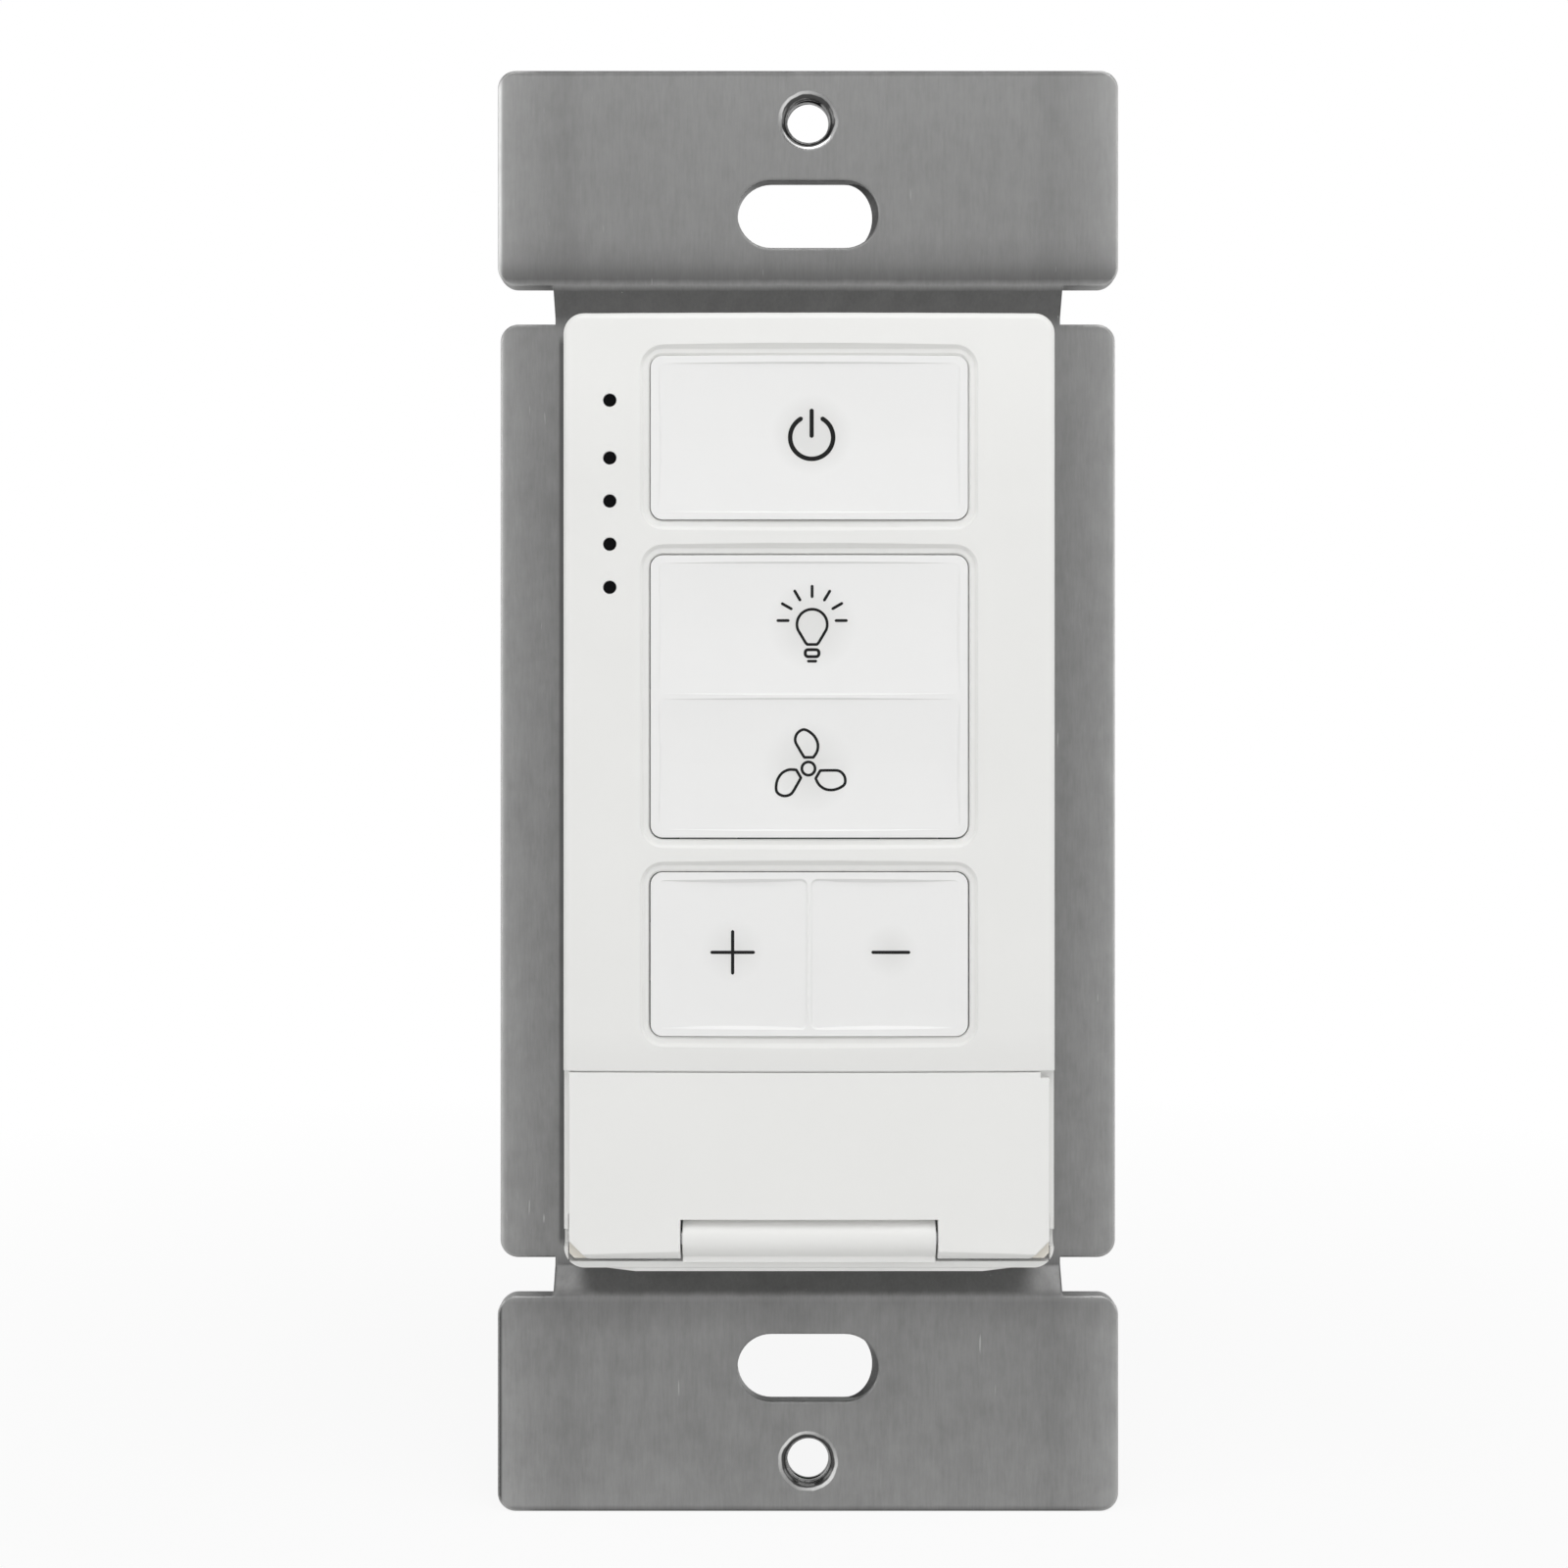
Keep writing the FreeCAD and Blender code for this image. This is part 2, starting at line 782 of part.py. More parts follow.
def rocker_tab(x, z, width, height):
    # a retaining tab behind the front wall
    front = wall_back + rocker_headroom
    return block(span(x, width), (front, front + flange_thickness), span(z, height))


def light_fan_key():
    skirt_back = wall_back + rocker_headroom + flange_thickness
    body = key_shell(light_fan_height, light_fan_z, skirt_back)
    edge = light_fan_height / 2 - seam
    reach = seam + flange_reach + skirt_wall / 2
    tabs = [rocker_tab(side_x * tab_offset, light_fan_z + side_z * (edge - skirt_wall / 2 + reach / 2),
                       tab_length, reach) for side_x in (-1, 1) for side_z in (-1, 1)]
    start = key_width / 2 - seam - skirt_wall / 2
    stop = key_width / 2 + bracket_standoff + bracket_thickness
    pins = [rod_x(pivot_y, light_fan_z, trunnion_radius, (start, stop))]
    pins.append(mirrored(pins[0]))
    posts = [post(0, light_fan_z + side * light_fan_arm, plunger_front - post_gap) for side in (-1, 1)]
    margin = seam + pad_margin
    tall = light_fan_height / 2 - margin - ridge / 2
    dishes = [pad_dish(key_width - 2 * margin, tall, 0, light_fan_z + side * (tall + ridge) / 2, True)
              for side in (-1, 1)]
    return less(join(body, *tabs, *pins, *posts), *dishes)


def level_key():
    skirt_back = wall_back + rocker_headroom + flange_thickness
    body = key_shell(level_height, level_z, skirt_back)
    edge = key_width / 2 - seam
    reach = seam + flange_reach + skirt_wall / 2
    tabs = [rocker_tab(side * (edge - skirt_wall / 2 + reach / 2), level_z, reach, tab_length)
            for side in (-1, 1)]
    start = level_height / 2 - seam - skirt_wall / 2
    stop = level_height / 2 + bracket_standoff + bracket_thickness
    pins = [rod_z(0, pivot_y, trunnion_radius, (level_z + start, level_z + stop)),
            rod_z(0, pivot_y, trunnion_radius, (level_z - stop, level_z - start))]
    posts = [post(side * level_arm, level_z, plunger_front - post_gap) for side in (-1, 1)]
    margin = seam + pad_margin
    wide = key_width / 2 - margin - ridge / 2
    dishes = [pad_dish(wide, level_height - 2 * margin, side * (wide + ridge) / 2, level_z, False)
              for side in (-1, 1)]
    return less(join(body, *tabs, *pins, *posts), *dishes)


# Door and its hinge pin

def door_corner_cut():
    # the sheared lower corner
    low = door_bottom - door_corner
    inner = door_half - door_corner
    outer = door_half + door_corner
    corners = [(inner, door_bottom), (outer, door_bottom + 2 * door_corner), (outer, low), (inner, low)]
    points = [vec(x, face_front - crown, z) for x, z in corners]
    cut = Part.Face(Part.makePolygon(points + points[:1])).extrude(vec(0, 2 * door_thickness, 0))
    return [cut, mirrored(cut)]


def door_foot_cut():
    # rolls the front of the foot to the radius that turns inside the frame
    corner = block(span(0, 2 * face_width), (face_front - door_foot_roll, hinge_y),
                   (door_bottom - door_foot_roll, hinge_z))
    return less(corner, rod_x(hinge_y, hinge_z, door_foot_roll, span(0, 3 * face_width)))


def door():
    top = door_top - door_seam
    window = block(span(0, 2 * door_half), (face_front - crown, seat_y), (door_bottom, top))
    panel = face_blank().common(window)
    depth = (face_front - crown, seat_y + sheet)
    notch = block(span(0, 2 * notch_half), depth, (door_bottom - sheet, hinge_z + barrel_radius + door_seam))
    corner_nick = block((door_half - nick_width, face_width), depth, (top - nick, top + nick))
    panel = less(panel, notch, corner_nick, door_foot_cut(), *door_corner_cut())
    knuckle = rod_x(hinge_y, hinge_z, barrel_radius - knuckle_step,
                    (knuckle_start, knuckle_start + knuckle_length))
    catch_top = bay_top - catch_gap
    catch = block(span(0, catch_width), (seat_y - catch_thickness, seat_y + catch_reach),
                  (catch_top - catch_thickness, catch_top))
    bore = rod_x(hinge_y, hinge_z, pin_radius + running_gap, span(0, 2 * (knuckle_start + knuckle_length)))
    return less(join(panel, knuckle, mirrored(knuckle), catch), bore)


def hinge_pin():
    return rod_x(hinge_y, hinge_z, pin_radius, span(0, 2 * (knuckle_start + knuckle_length)))


# Lever and dial behind the door

def air_gap_lever():
    x = -lever_offset
    shoe = block(span(x, lever_knob), (bay_y - lever_shoe, bay_y), span(bay_z, lever_knob_height))
    ribs = [block(span(x + step * lever_rib_pitch, lever_rib),
                  (bay_y - lever_shoe - lever_grip, bay_y - lever_shoe), span(bay_z, lever_knob_height))
            for step in (-1, 0, 1)]
    stem = block(span(x, lever_stem), (bay_y - lever_shoe, gap_switch_front + lever_entry),
                 span(bay_z, lever_stem_height))
    return join(shoe, stem, *ribs)


def air_gap_switch():
    body = lever_passage((gap_switch_front, power_front), gap_switch_wall)
    return less(body, lever_passage((gap_switch_front - sheet, gap_switch_front + lever_entry + floor_air)))


def trim_dial():
    disc = rod_y(dial_offset, bay_z, dial_radius, (bay_y - dial_thickness, bay_y))
    shaft = rod_y(dial_offset, bay_z, dial_shaft_radius,
                  (bay_y - dial_slot_depth, trimmer_front + trimmer_entry))
    slot = block(span(dial_offset, dial_slot), (bay_y - dial_thickness - dial_slot_depth,
                                                bay_y - dial_thickness + dial_slot_depth),
                 (bay_z - dial_radius / 2, bay_z + 2 * dial_radius))
    return less(join(disc, shaft), slot)


def trimmer():
    body = block(span(dial_offset, trimmer_size), (trimmer_front, board_front), span(bay_z, trimmer_size))
    return less(body, rod_y(dial_offset, bay_z, dial_shaft_radius + running_gap,
                            (trimmer_front - floor_air, trimmer_front + trimmer_entry + floor_air)))


# Control board and what it carries

def light_guide():
    strip = block(span(guide_x, guide_width), (wall_back, wall_back + guide_thickness),
                  (light_z[-1] - guide_margin, light_z[0] + guide_margin))
    tip = face_front + crown * (light_x / face_half) ** 2 + guide_recess
    tips = [rod_y(light_x, z, light_hole_radius - running_gap, (tip, wall_back)) for z in light_z]
    column_end = board_front - led_height - guide_air
    columns = [block(span(guide_x, guide_column), (wall_back, column_end), span(z, guide_column))
               for z in light_z]
    return join(strip, *tips, *columns)


def status_light(z):
    return block(span(guide_x, led_length), (board_front - led_height, board_front), span(z, led_width))


def boss_notches(y_span, gap):
    # room at the four corners for the screw bosses
    x = screw_x - boss_radius - gap
    z = screw_z - boss_radius - gap
    return [block(sorted((side_x * x, side_x * face_width)), y_span,
                  sorted((side_z * z, side_z * face_height)))
            for side_x in (-1, 1) for side_z in (-1, 1)]


def control_board():
    middle = (board_top + board_bottom) / 2
    depth = (board_front, board_back)
    body = plate(2 * board_half, board_top - board_bottom, inner_radius, depth, z=middle)
    through = (board_front - sheet, board_back + sheet)
    return less(body, lever_passage(through), *boss_notches(through, board_gap))


def insulating_plate():
    body = plate(2 * board_half, 2 * board_top, inner_radius, (board_back, strap_front))
    through = (board_back - sheet, strap_front + sheet)
    window = block(span(0, window_width), through, span(window_z, window_height))
    return less(body, window, lever_passage(through), *boss_notches(through, board_gap))


def key_switch(x, z):
    body = block(span(x, switch_size), (switch_front, board_front), span(z, switch_size))
    mouth = rod_y(x, z, plunger_radius + running_gap, (switch_front - sheet, board_front - switch_floor))
    wide = 2 * (plunger_radius + plunger_flange + running_gap)
    room = block(span(x, wide), (switch_front + switch_cover, board_front - switch_floor), span(z, wide))
    return less(body, mouth, room)


def plunger(x, z):
    flange_front = switch_front + switch_cover + plunger_lift
    stem = rod_y(x, z, plunger_radius, (plunger_front, flange_front))
    wide = 2 * (plunger_radius + plunger_flange)
    flange = block(span(x, wide), (flange_front, flange_front + plunger_flange_thickness), span(z, wide))
    return join(stem, flange)


def control_chip():
    return block(span(chip_x, chip_size), (board_front - chip_height, board_front),
                 span(light_fan_z, chip_size))


def header_pins(size):
    pitch = header_height / pin_count
    first = window_z - pitch * (pin_count - 1) / 2
    return [block(span(0, size), (strap_back, socket_front + pin_reach), span(first + pitch * step, size))
            for step in range(pin_count)]


def board_header():
    body = block(span(0, header_width), (board_back, socket_front), span(window_z, header_height))
    return join(body, *header_pins(pin_size))


def board_socket():
    body = block(span(0, header_width), (socket_front, power_front), span(window_z, header_height))
    return less(body, *header_pins(pin_size + 2 * pin_slack))


# Power board and what it carries

def power_board():
    middle = (power_top + power_bottom) / 2
    body = plate(2 * power_half, power_top - power_bottom, inner_radius, (power_front, power_back), z=middle)
    through = (power_front - sheet, power_back + sheet)
    notches = [rod_y(side_x * screw_x, side_z * screw_z, spigot_radius + spigot_gap, through)
               for side_x in (-1, 1) for side_z in (-1, 1)]
    corners = [block(sorted((side_x * screw_x, side_x * strap_half)), through,
                     span(side_z * screw_z, 2 * (spigot_radius + spigot_gap)))
               for side_x in (-1, 1) for side_z in (-1, 1)]
    ends = [block(span(side_x * screw_x, 2 * (spigot_radius + spigot_gap)), through,
                  sorted((side_z * screw_z, side_z * strap_end)))
            for side_x in (-1, 1) for side_z in (-1, 1)]
    return less(body, *notches, *corners, *ends)


def triac(side):
    # a flat power package: a screwed tab, a moulded body and three legs bent back to the board
    x = side * triac_offset
    tab = block(span(x, triac_width), (strap_back, strap_back + triac_tab_thickness),
                (triac_z - triac_tab / 2, triac_z + triac_tab / 2))
    body_top = triac_z - triac_tab / 2
    body = block(span(x, triac_width), (strap_back, strap_back + triac_thickness),
                 (body_top - triac_body, body_top))
    leg_y = strap_back + triac_lead_setback
    leg_end = body_top - triac_body - triac_lead_run
    legs = []
    for step in (-1, 0, 1):
        across = span(x + step * triac_lead_pitch, triac_lead)
        legs.append(block(across, (leg_y, leg_y + triac_lead_thickness), (leg_end, body_top - triac_body)))
        legs.append(block(across, (leg_y, power_front), (leg_end, leg_end + triac_lead_thickness)))
    hole = rod_y(x, triac_z, tab_screw_radius + tab_hole_gap,
                 (strap_back - sheet, strap_back + 2 * triac_tab_thickness))
    return less(join(tab, body, *legs), hole)


def triac_screws():
    head_front = strap_back + triac_tab_thickness
    screws = []
    for side in (-1, 1):
        x = side * triac_offset
        shank = rod_y(x, triac_z, tab_screw_radius, (strap_front, head_front))
        head = rod_y(x, triac_z, tab_screw_head_radius, (head_front, head_front + tab_screw_head))
        slot = block(span(x, recess_width), (head_front + tab_screw_head - recess_depth, power_front),
                     span(triac_z, 2 * triac_width))
        screws.append(less(join(shank, head), slot))
    return Part.makeCompound(screws)


def choke():
    # a wound ring on a base
    low = power_back + choke_base
    ring = rod_y(choke_x, choke_z, choke_radius, (low, low + choke_height))
    rims = [edge for edge in ring.Edges if isinstance(edge.Curve, Part.Circle)]
    ring = ring.makeChamfer(choke_edge, rims)
    eye = rod_y(choke_x, choke_z, choke_eye, (low - choke_base, low + 2 * choke_height))
    base = rod_y(choke_x, choke_z, choke_radius - choke_edge, (power_back, low))
    return join(less(ring, eye), base)


def can_capacitor():
    return rod_y(can_x, can_z, can_radius, (power_back, power_back + can_height))


def cased_part(width, length, height, x, z):
    # a moulded case standing on the board, its long edges eased
    body = block(span(x, width), (power_back, power_back + height), span(z, length))
    edges = [edge for edge in body.Edges if edge.BoundBox.YLength > height / 2]
    return body.makeChamfer(case_edge, edges)


def varistor():
    # a coated disc standing on two leads
    middle = power_back + varistor_standoff + varistor_radius
    disc = rod_z(varistor_x, middle, varistor_radius, span(varistor_z, varistor_thickness))
    leads = [rod_y(varistor_x + side * varistor_radius / 2, varistor_z, lead_radius, (power_back, middle))
             for side in (-1, 1)]
    return join(disc, *leads)


def fuse():
    return rod_y(fuse_x, fuse_z, fuse_radius, (power_back, power_back + fuse_height))


# Terminals, built on the right side and mirrored where they sit on the left

def on_side(side, shape):
    return shape if side > 0 else mirrored(shape)


def contact_plate(side, z):
    tall = pocket_size - 2 * contact_margin
    across = (contact_x, contact_x + contact_thickness)
    body = block(across, span(terminal_centre, tall), span(z, tall))
    leg = block(across, (power_back, terminal_centre), span(z, contact_leg))
    hole = rod_x(terminal_centre, z, terminal_screw_radius + running_gap,
                 (contact_x - sheet, contact_x + contact_thickness + sheet))
    return on_side(side, less(join(body, leg), hole))


def clamp_plate(side, z):
    size = pocket_size - 2 * (contact_margin + clamp_margin)
    body = block((clamp_x, clamp_x + clamp_thickness), span(terminal_centre, size), span(z, size))
    edges = [edge for edge in body.Edges if edge.BoundBox.XLength > clamp_thickness / 2]
    hole = rod_x(terminal_centre, z, terminal_screw_radius + clamp_play,
                 (clamp_x - sheet, clamp_x + clamp_thickness + sheet))
    return on_side(side, less(body.makeChamfer(case_edge, edges), hole))


def terminal_screw(side, z):
    head_x = clamp_x + clamp_thickness
    shank = rod_x(terminal_centre, z, terminal_screw_radius, (contact_x - terminal_tail, head_x))
    head = rod_x(terminal_centre, z, terminal_head_radius, (head_x, head_x + terminal_head))
    slot = block((head_x + terminal_head - recess_depth, head_x + 2 * terminal_head),
                 span(terminal_centre, recess_width), span(z, 3 * terminal_head_radius))
    return on_side(side, less(join(shank, head), slot))


# Back housing and its screws

def housing_columns():
    # a stepped column in each corner: the power board rests on the step
    solids = []
    for side_x in (-1, 1):
        for side_z in (-1, 1):
            x, z = side_x * screw_x, side_z * screw_z
            solids.append(rod_y(x, z, spigot_radius, (strap_back - sheet, power_back)))
            solids.append(rod_y(x, z, column_radius, (power_back, housing_back)))
    return solids


def terminal_pockets():
    # the solid round each terminal's recess, with the passages of its wires behind it
    low = housing_half - pocket_depth - pocket_floor
    depth = (terminal_centre - pocket_size / 2 - pocket_wall, housing_back)
    return [block(sorted((side * low, side * housing_half)), depth, span(z, pocket_size + 2 * pocket_wall))
            for side, z in terminal_places.values()]


def terminal_cuts(side, z):
    outer = housing_half + housing_wall
    recess = block((contact_x, outer), span(terminal_centre, pocket_size), span(z, pocket_size))
    leg = block((contact_x - leg_gap, contact_x + contact_thickness + leg_gap), (power_back, terminal_centre),
                span(z, contact_leg + 2 * leg_gap))
    tail = rod_x(terminal_centre, z, terminal_screw_radius + tail_gap,
                 (contact_x - terminal_tail - tail_gap, outer))
    wires = [wire_passage(z + way * wire_pitch / 2) for way in (-1, 1)]
    return on_side(side, join(recess, leg, tail, *wires))


def wire_passage(z):
    # a round hole from the back to the clamp, with a funnel at its mouth
    x = clamp_x + clamp_thickness / 2
    mouth = Part.makeCone(wire_radius, wire_radius + wire_lead_in, wire_lead_in,
                          vec(x, housing_back - wire_lead_in, z), vec(0, 1, 0))
    return join(rod_y(x, z, wire_radius, (terminal_centre, housing_back)), mouth)


def side_rails():
    # a rail along each side where the housing meets the strap, and barriers between the terminals
    across = (housing_half - housing_wall, housing_half + rail_height)
    solids = [block(across, (strap_back, strap_back + rail_depth), span(0, 2 * (housing_end - rail_end)))]
    depth = (strap_back + barrier_start, housing_back - barrier_end)
    solids += [block(across, depth, span(step * barrier_pitch, barrier_thickness)) for step in (-1, 0, 1)]
    return solids + [mirrored(solid) for solid in solids]


def back_marks():
    # a shallow panel for a rating label and two gauges for the length of bared wire
    depth = (housing_back - gauge_depth, housing_back + sheet)
    gauges = [obround(gauge_length, gauge_width, depth, 0, side * gauge_offset) for side in (-1, 1)]
    panel = plate(panel_width, panel_height, panel_radius, (housing_back - panel_depth, housing_back + sheet))
    return [panel, *gauges]


def ground_pocket(wall):
    # room for the end of the ground screw, in the underside of the housing
    half = ground_screw_radius + ground_pocket_gap + wall
    return block(span(ground_x, 2 * half), (strap_back - sheet, ground_screw_y + half),
                 (-housing_end - sheet, ground_screw_reach + ground_pocket_gap + wall - housing_end))


def back_housing():
    blank = plate(2 * housing_half, 2 * housing_end, housing_radius, (strap_back, housing_back))
    rim = [edge for edge in blank.Edges if edge.BoundBox.YMin > housing_back - near]
    blank = join(blank.makeFillet(housing_edge, rim), *side_rails())
    room = plate(2 * (housing_half - housing_wall), 2 * (housing_end - housing_wall),
                 housing_radius - housing_wall, (strap_back - sheet, housing_back - housing_wall))
    room = less(room, ground_pocket(ground_pocket_wall), *housing_columns(), *terminal_pockets())
    cuts = [terminal_cuts(side, z) for side, z in terminal_places.values()]
    cuts += [ground_pocket(0), *back_marks()]
    for side_x in (-1, 1):
        for side_z in (-1, 1):
            x, z = side_x * screw_x, side_z * screw_z
            cuts.append(rod_y(x, z, screw_radius + screw_gap, (strap_back - sheet, housing_back)))
            cuts.append(rod_y(x, z, screw_head_radius + counterbore_gap,
                              (housing_back - counterbore_depth, housing_back + sheet)))
    return less(blank, room, *cuts)


def housing_screws():
    seat = housing_back - counterbore_depth
    screws = []
    for side_x in (-1, 1):
        for side_z in (-1, 1):
            x, z = side_x * screw_x, side_z * screw_z
            shank = rod_y(x, z, screw_radius, (strap_front - screw_bite, seat))
            head = rod_y(x, z, screw_head_radius, (seat, seat + screw_head_height))
            depth = (seat + screw_head_height - recess_depth, housing_back)
            bars = [block(span(x, wide), depth, span(z, tall))
                    for wide, tall in ((recess_width, screw_head_radius), (screw_head_radius, recess_width))]
            screws.append(less(join(shank, head), *bars))
    return Part.makeCompound(screws)


def ground_screw():
    tab_low = ground_top - sheet
    shank = rod_z(ground_x, ground_screw_y, ground_screw_radius, (tab_low, ground_screw_reach - housing_end))
    washer = rod_z(ground_x, ground_screw_y, ground_washer_radius, (tab_low - ground_washer, tab_low))
    corner = ground_hex / math.sqrt(3)
    points = [vec(ground_x + corner * math.cos(math.radians(60 * turn)),
                  ground_screw_y + corner * math.sin(math.radians(60 * turn)), tab_low - ground_washer)
              for turn in range(6)]
    head = Part.Face(Part.makePolygon(points + points[:1])).extrude(vec(0, 0, -ground_hex_height))
    slot = block(span(ground_x, 2 * ground_hex), span(ground_screw_y, recess_width),
                 (tab_low - ground_washer - 2 * ground_hex_height,
                  tab_low - ground_washer - ground_hex_height + recess_depth))
    return less(join(shank, washer, head), slot)


pieces = {
    "strap": strap(),
    "face_frame": face_frame(),
    "power_key": power_key(),
    "light_fan_key": light_fan_key(),
    "level_key": level_key(),
    "light_guide": light_guide(),
    "door": door(),
    "hinge_pin": hinge_pin(),
    "air_gap_lever": air_gap_lever(),
    "air_gap_switch": air_gap_switch(),
    "trim_dial": trim_dial(),
    "trimmer": trimmer(),
    "control_board": control_board(),
    "insulating_plate": insulating_plate(),
    "control_chip": control_chip(),
    "board_header": board_header(),
    "board_socket": board_socket(),
    "power_board": power_board(),
    "triac_light": triac(1),
    "triac_fan": triac(-1),
    "triac_screws": triac_screws(),
    "choke": choke(),
    "can_capacitor": can_capacitor(),
    "relay": cased_part(relay_width, relay_length, relay_height, relay_x, relay_z),
    "fan_capacitor_1": cased_part(capacitor_short, capacitor_long, capacitor_height,
                                  tall_case_x, tall_case_z),
    "fan_capacitor_2": cased_part(wide_case_length, capacitor_short, capacitor_height,
                                  wide_case_x, wide_case_z),
    "varistor": varistor(),
    "fuse": fuse(),
    "back_housing": back_housing(),
    "housing_screws": housing_screws(),
    "ground_screw": ground_screw(),
}
for name, (x, z) in switch_places.items():
    pieces[f"{name}_switch"] = key_switch(x, z)
    pieces[f"{name}_plunger"] = plunger(x, z)
for number, z in enumerate(light_z, start=1):
    pieces[f"status_light_{number}"] = status_light(z)
for name, (side, z) in terminal_places.items():
    pieces[f"{name}_contact"] = contact_plate(side, z)
    pieces[f"{name}_clamp"] = clamp_plate(side, z)
    pieces[f"{name}_screw"] = terminal_screw(side, z)

os.makedirs("parts", exist_ok=True)
for name, shape in pieces.items():
    shape.exportStep(f"parts/{name}.step")
print(len(pieces), "pieces written")
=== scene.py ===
import json
import math

import bmesh
import bpy
from mathutils import Matrix, Vector
from mathutils.bvhtree import BVHTree


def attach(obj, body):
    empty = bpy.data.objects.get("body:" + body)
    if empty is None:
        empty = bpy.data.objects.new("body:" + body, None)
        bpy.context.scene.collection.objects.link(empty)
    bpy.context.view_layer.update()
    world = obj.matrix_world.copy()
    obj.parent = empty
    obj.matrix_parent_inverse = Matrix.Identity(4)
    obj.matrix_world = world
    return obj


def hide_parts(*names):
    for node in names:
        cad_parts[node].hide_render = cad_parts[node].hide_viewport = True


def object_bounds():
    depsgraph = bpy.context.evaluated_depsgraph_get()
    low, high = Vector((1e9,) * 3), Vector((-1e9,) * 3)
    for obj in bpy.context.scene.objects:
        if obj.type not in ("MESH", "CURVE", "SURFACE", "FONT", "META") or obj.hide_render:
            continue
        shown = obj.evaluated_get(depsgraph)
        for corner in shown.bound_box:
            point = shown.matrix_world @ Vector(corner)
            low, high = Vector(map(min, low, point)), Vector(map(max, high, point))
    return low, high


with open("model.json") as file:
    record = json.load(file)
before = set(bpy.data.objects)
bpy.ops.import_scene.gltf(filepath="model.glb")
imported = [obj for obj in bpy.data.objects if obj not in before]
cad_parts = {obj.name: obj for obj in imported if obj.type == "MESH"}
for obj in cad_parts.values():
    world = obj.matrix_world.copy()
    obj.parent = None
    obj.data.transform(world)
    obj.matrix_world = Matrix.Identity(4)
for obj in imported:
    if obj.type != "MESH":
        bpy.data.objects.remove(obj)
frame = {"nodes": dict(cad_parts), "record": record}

mm = 0.001
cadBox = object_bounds()
cadNodes = frame["nodes"]
print("frame loaded:", len(cadNodes), "parts")

# small tools for wiring materials; lengths are in mm

bevelSamples = 6
topLevel = 3.0  # the brightest a ramp can be
fineDepth = 0.01  # of the bumps, where a look gives no depth


def addNode(tree, kind, values=None, links=None, **settings):
    made = tree.nodes.new(kind)
    for name, value in settings.items():
        setattr(made, name, value)
    for socket, value in (values or {}).items():
        made.inputs[socket].default_value = value
    for socket, output in (links or {}).items():
        tree.links.new(output, made.inputs[socket])
    return made


def millimetres(tree, stretch=(1, 1, 1)):
    place = addNode(tree, "ShaderNodeTexCoord").outputs["Object"]
    scale = [1000 * factor for factor in stretch]
    return addNode(tree, "ShaderNodeMapping", {"Scale": scale}, {"Vector": place}).outputs["Vector"]


def noise(tree, scale, stretch=(1, 1, 1), detail=3.0, rough=0.5):
    links = {"Vector": millimetres(tree, stretch)}
    values = {"Scale": scale, "Detail": detail, "Roughness": rough}
    return addNode(tree, "ShaderNodeTexNoise", values, links).outputs[0]


def spread(tree, value, low, high, start=0.0, stop=1.0):
    values = {"From Min": start, "From Max": stop, "To Min": low, "To Max": high}
    return addNode(tree, "ShaderNodeMapRange", values, {"Value": value}).outputs[0]


def maths(tree, operation, first, second=0.0):
    made = addNode(tree, "ShaderNodeMath", operation=operation)
    for socket, value in enumerate((first, second)):
        if isinstance(value, (int, float)):
            made.inputs[socket].default_value = value
        else:
            tree.links.new(value, made.inputs[socket])
    return made.outputs[0]


def times(tree, first, second):
    return maths(tree, "MULTIPLY", first, second)


def plus(tree, first, second):
    return maths(tree, "ADD", first, second)


def blendColours(tree, factor, first, second, mode="MIX"):
    # sockets 0, 6 and 7 take the factor and the two colours
    made = addNode(tree, "ShaderNodeMix", data_type="RGBA", blend_type=mode)
    for socket, value in ((0, factor), (6, first), (7, second)):
        if isinstance(value, bpy.types.NodeSocket):
            tree.links.new(value, made.inputs[socket])
        elif socket == 0:
            made.inputs[socket].default_value = value
        else:
            made.inputs[socket].default_value = (*value, 1)
    return made.outputs[2]


def splitVector(tree, vector):
    return addNode(tree, "ShaderNodeSeparateXYZ", links={0: vector}).outputs


def reachFrom(tree, x, z):
    # how far a place is from this point of the front, in mm
    flat = addNode(tree, "ShaderNodeVectorMath", {1: (1, 0, 1)}, {0: millimetres(tree)},
                   operation="MULTIPLY")
    far = addNode(tree, "ShaderNodeVectorMath", {1: (x, 0, z)}, {0: flat.outputs[0]},
                  operation="DISTANCE")
    return far.outputs["Value"]


def levels(tree, value, stops):
    # a ramp through (place, level) pairs
    first, last = stops[0][0], stops[-1][0]
    share = spread(tree, value, 0.0, 1.0, first, last)
    ramp = addNode(tree, "ShaderNodeValToRGB", links={0: share})
    points = ramp.color_ramp.elements
    while len(points) < len(stops):
        points.new(0.5)
    for point, (place, level) in zip(points, stops):
        point.position = (place - first) / (last - first)
        point.color = (level / topLevel, level / topLevel, level / topLevel, 1)
    return times(tree, ramp.outputs[0], topLevel)


def edgeMask(tree, radius, gain):
    # bright where a rounded edge would turn away from the flat beside it
    eased = addNode(tree, "ShaderNodeBevel", {"Radius": radius * mm}, samples=bevelSamples).outputs[0]
    true = addNode(tree, "ShaderNodeNewGeometry").outputs["Normal"]
    agree = addNode(tree, "ShaderNodeVectorMath", links={0: eased, 1: true}, operation="DOT_PRODUCT")
    return spread(tree, agree.outputs["Value"], 1.0, 0.0, 1.0 - gain, 1.0)


def newFinish(name, **settings):
    material = bpy.data.materials.new(name)
    material.use_nodes = True
    shader = material.node_tree.nodes["Principled BSDF"]
    for socket, value in settings.items():
        shader.inputs[socket.replace("_", " ")].default_value = value
    return material, material.node_tree, shader


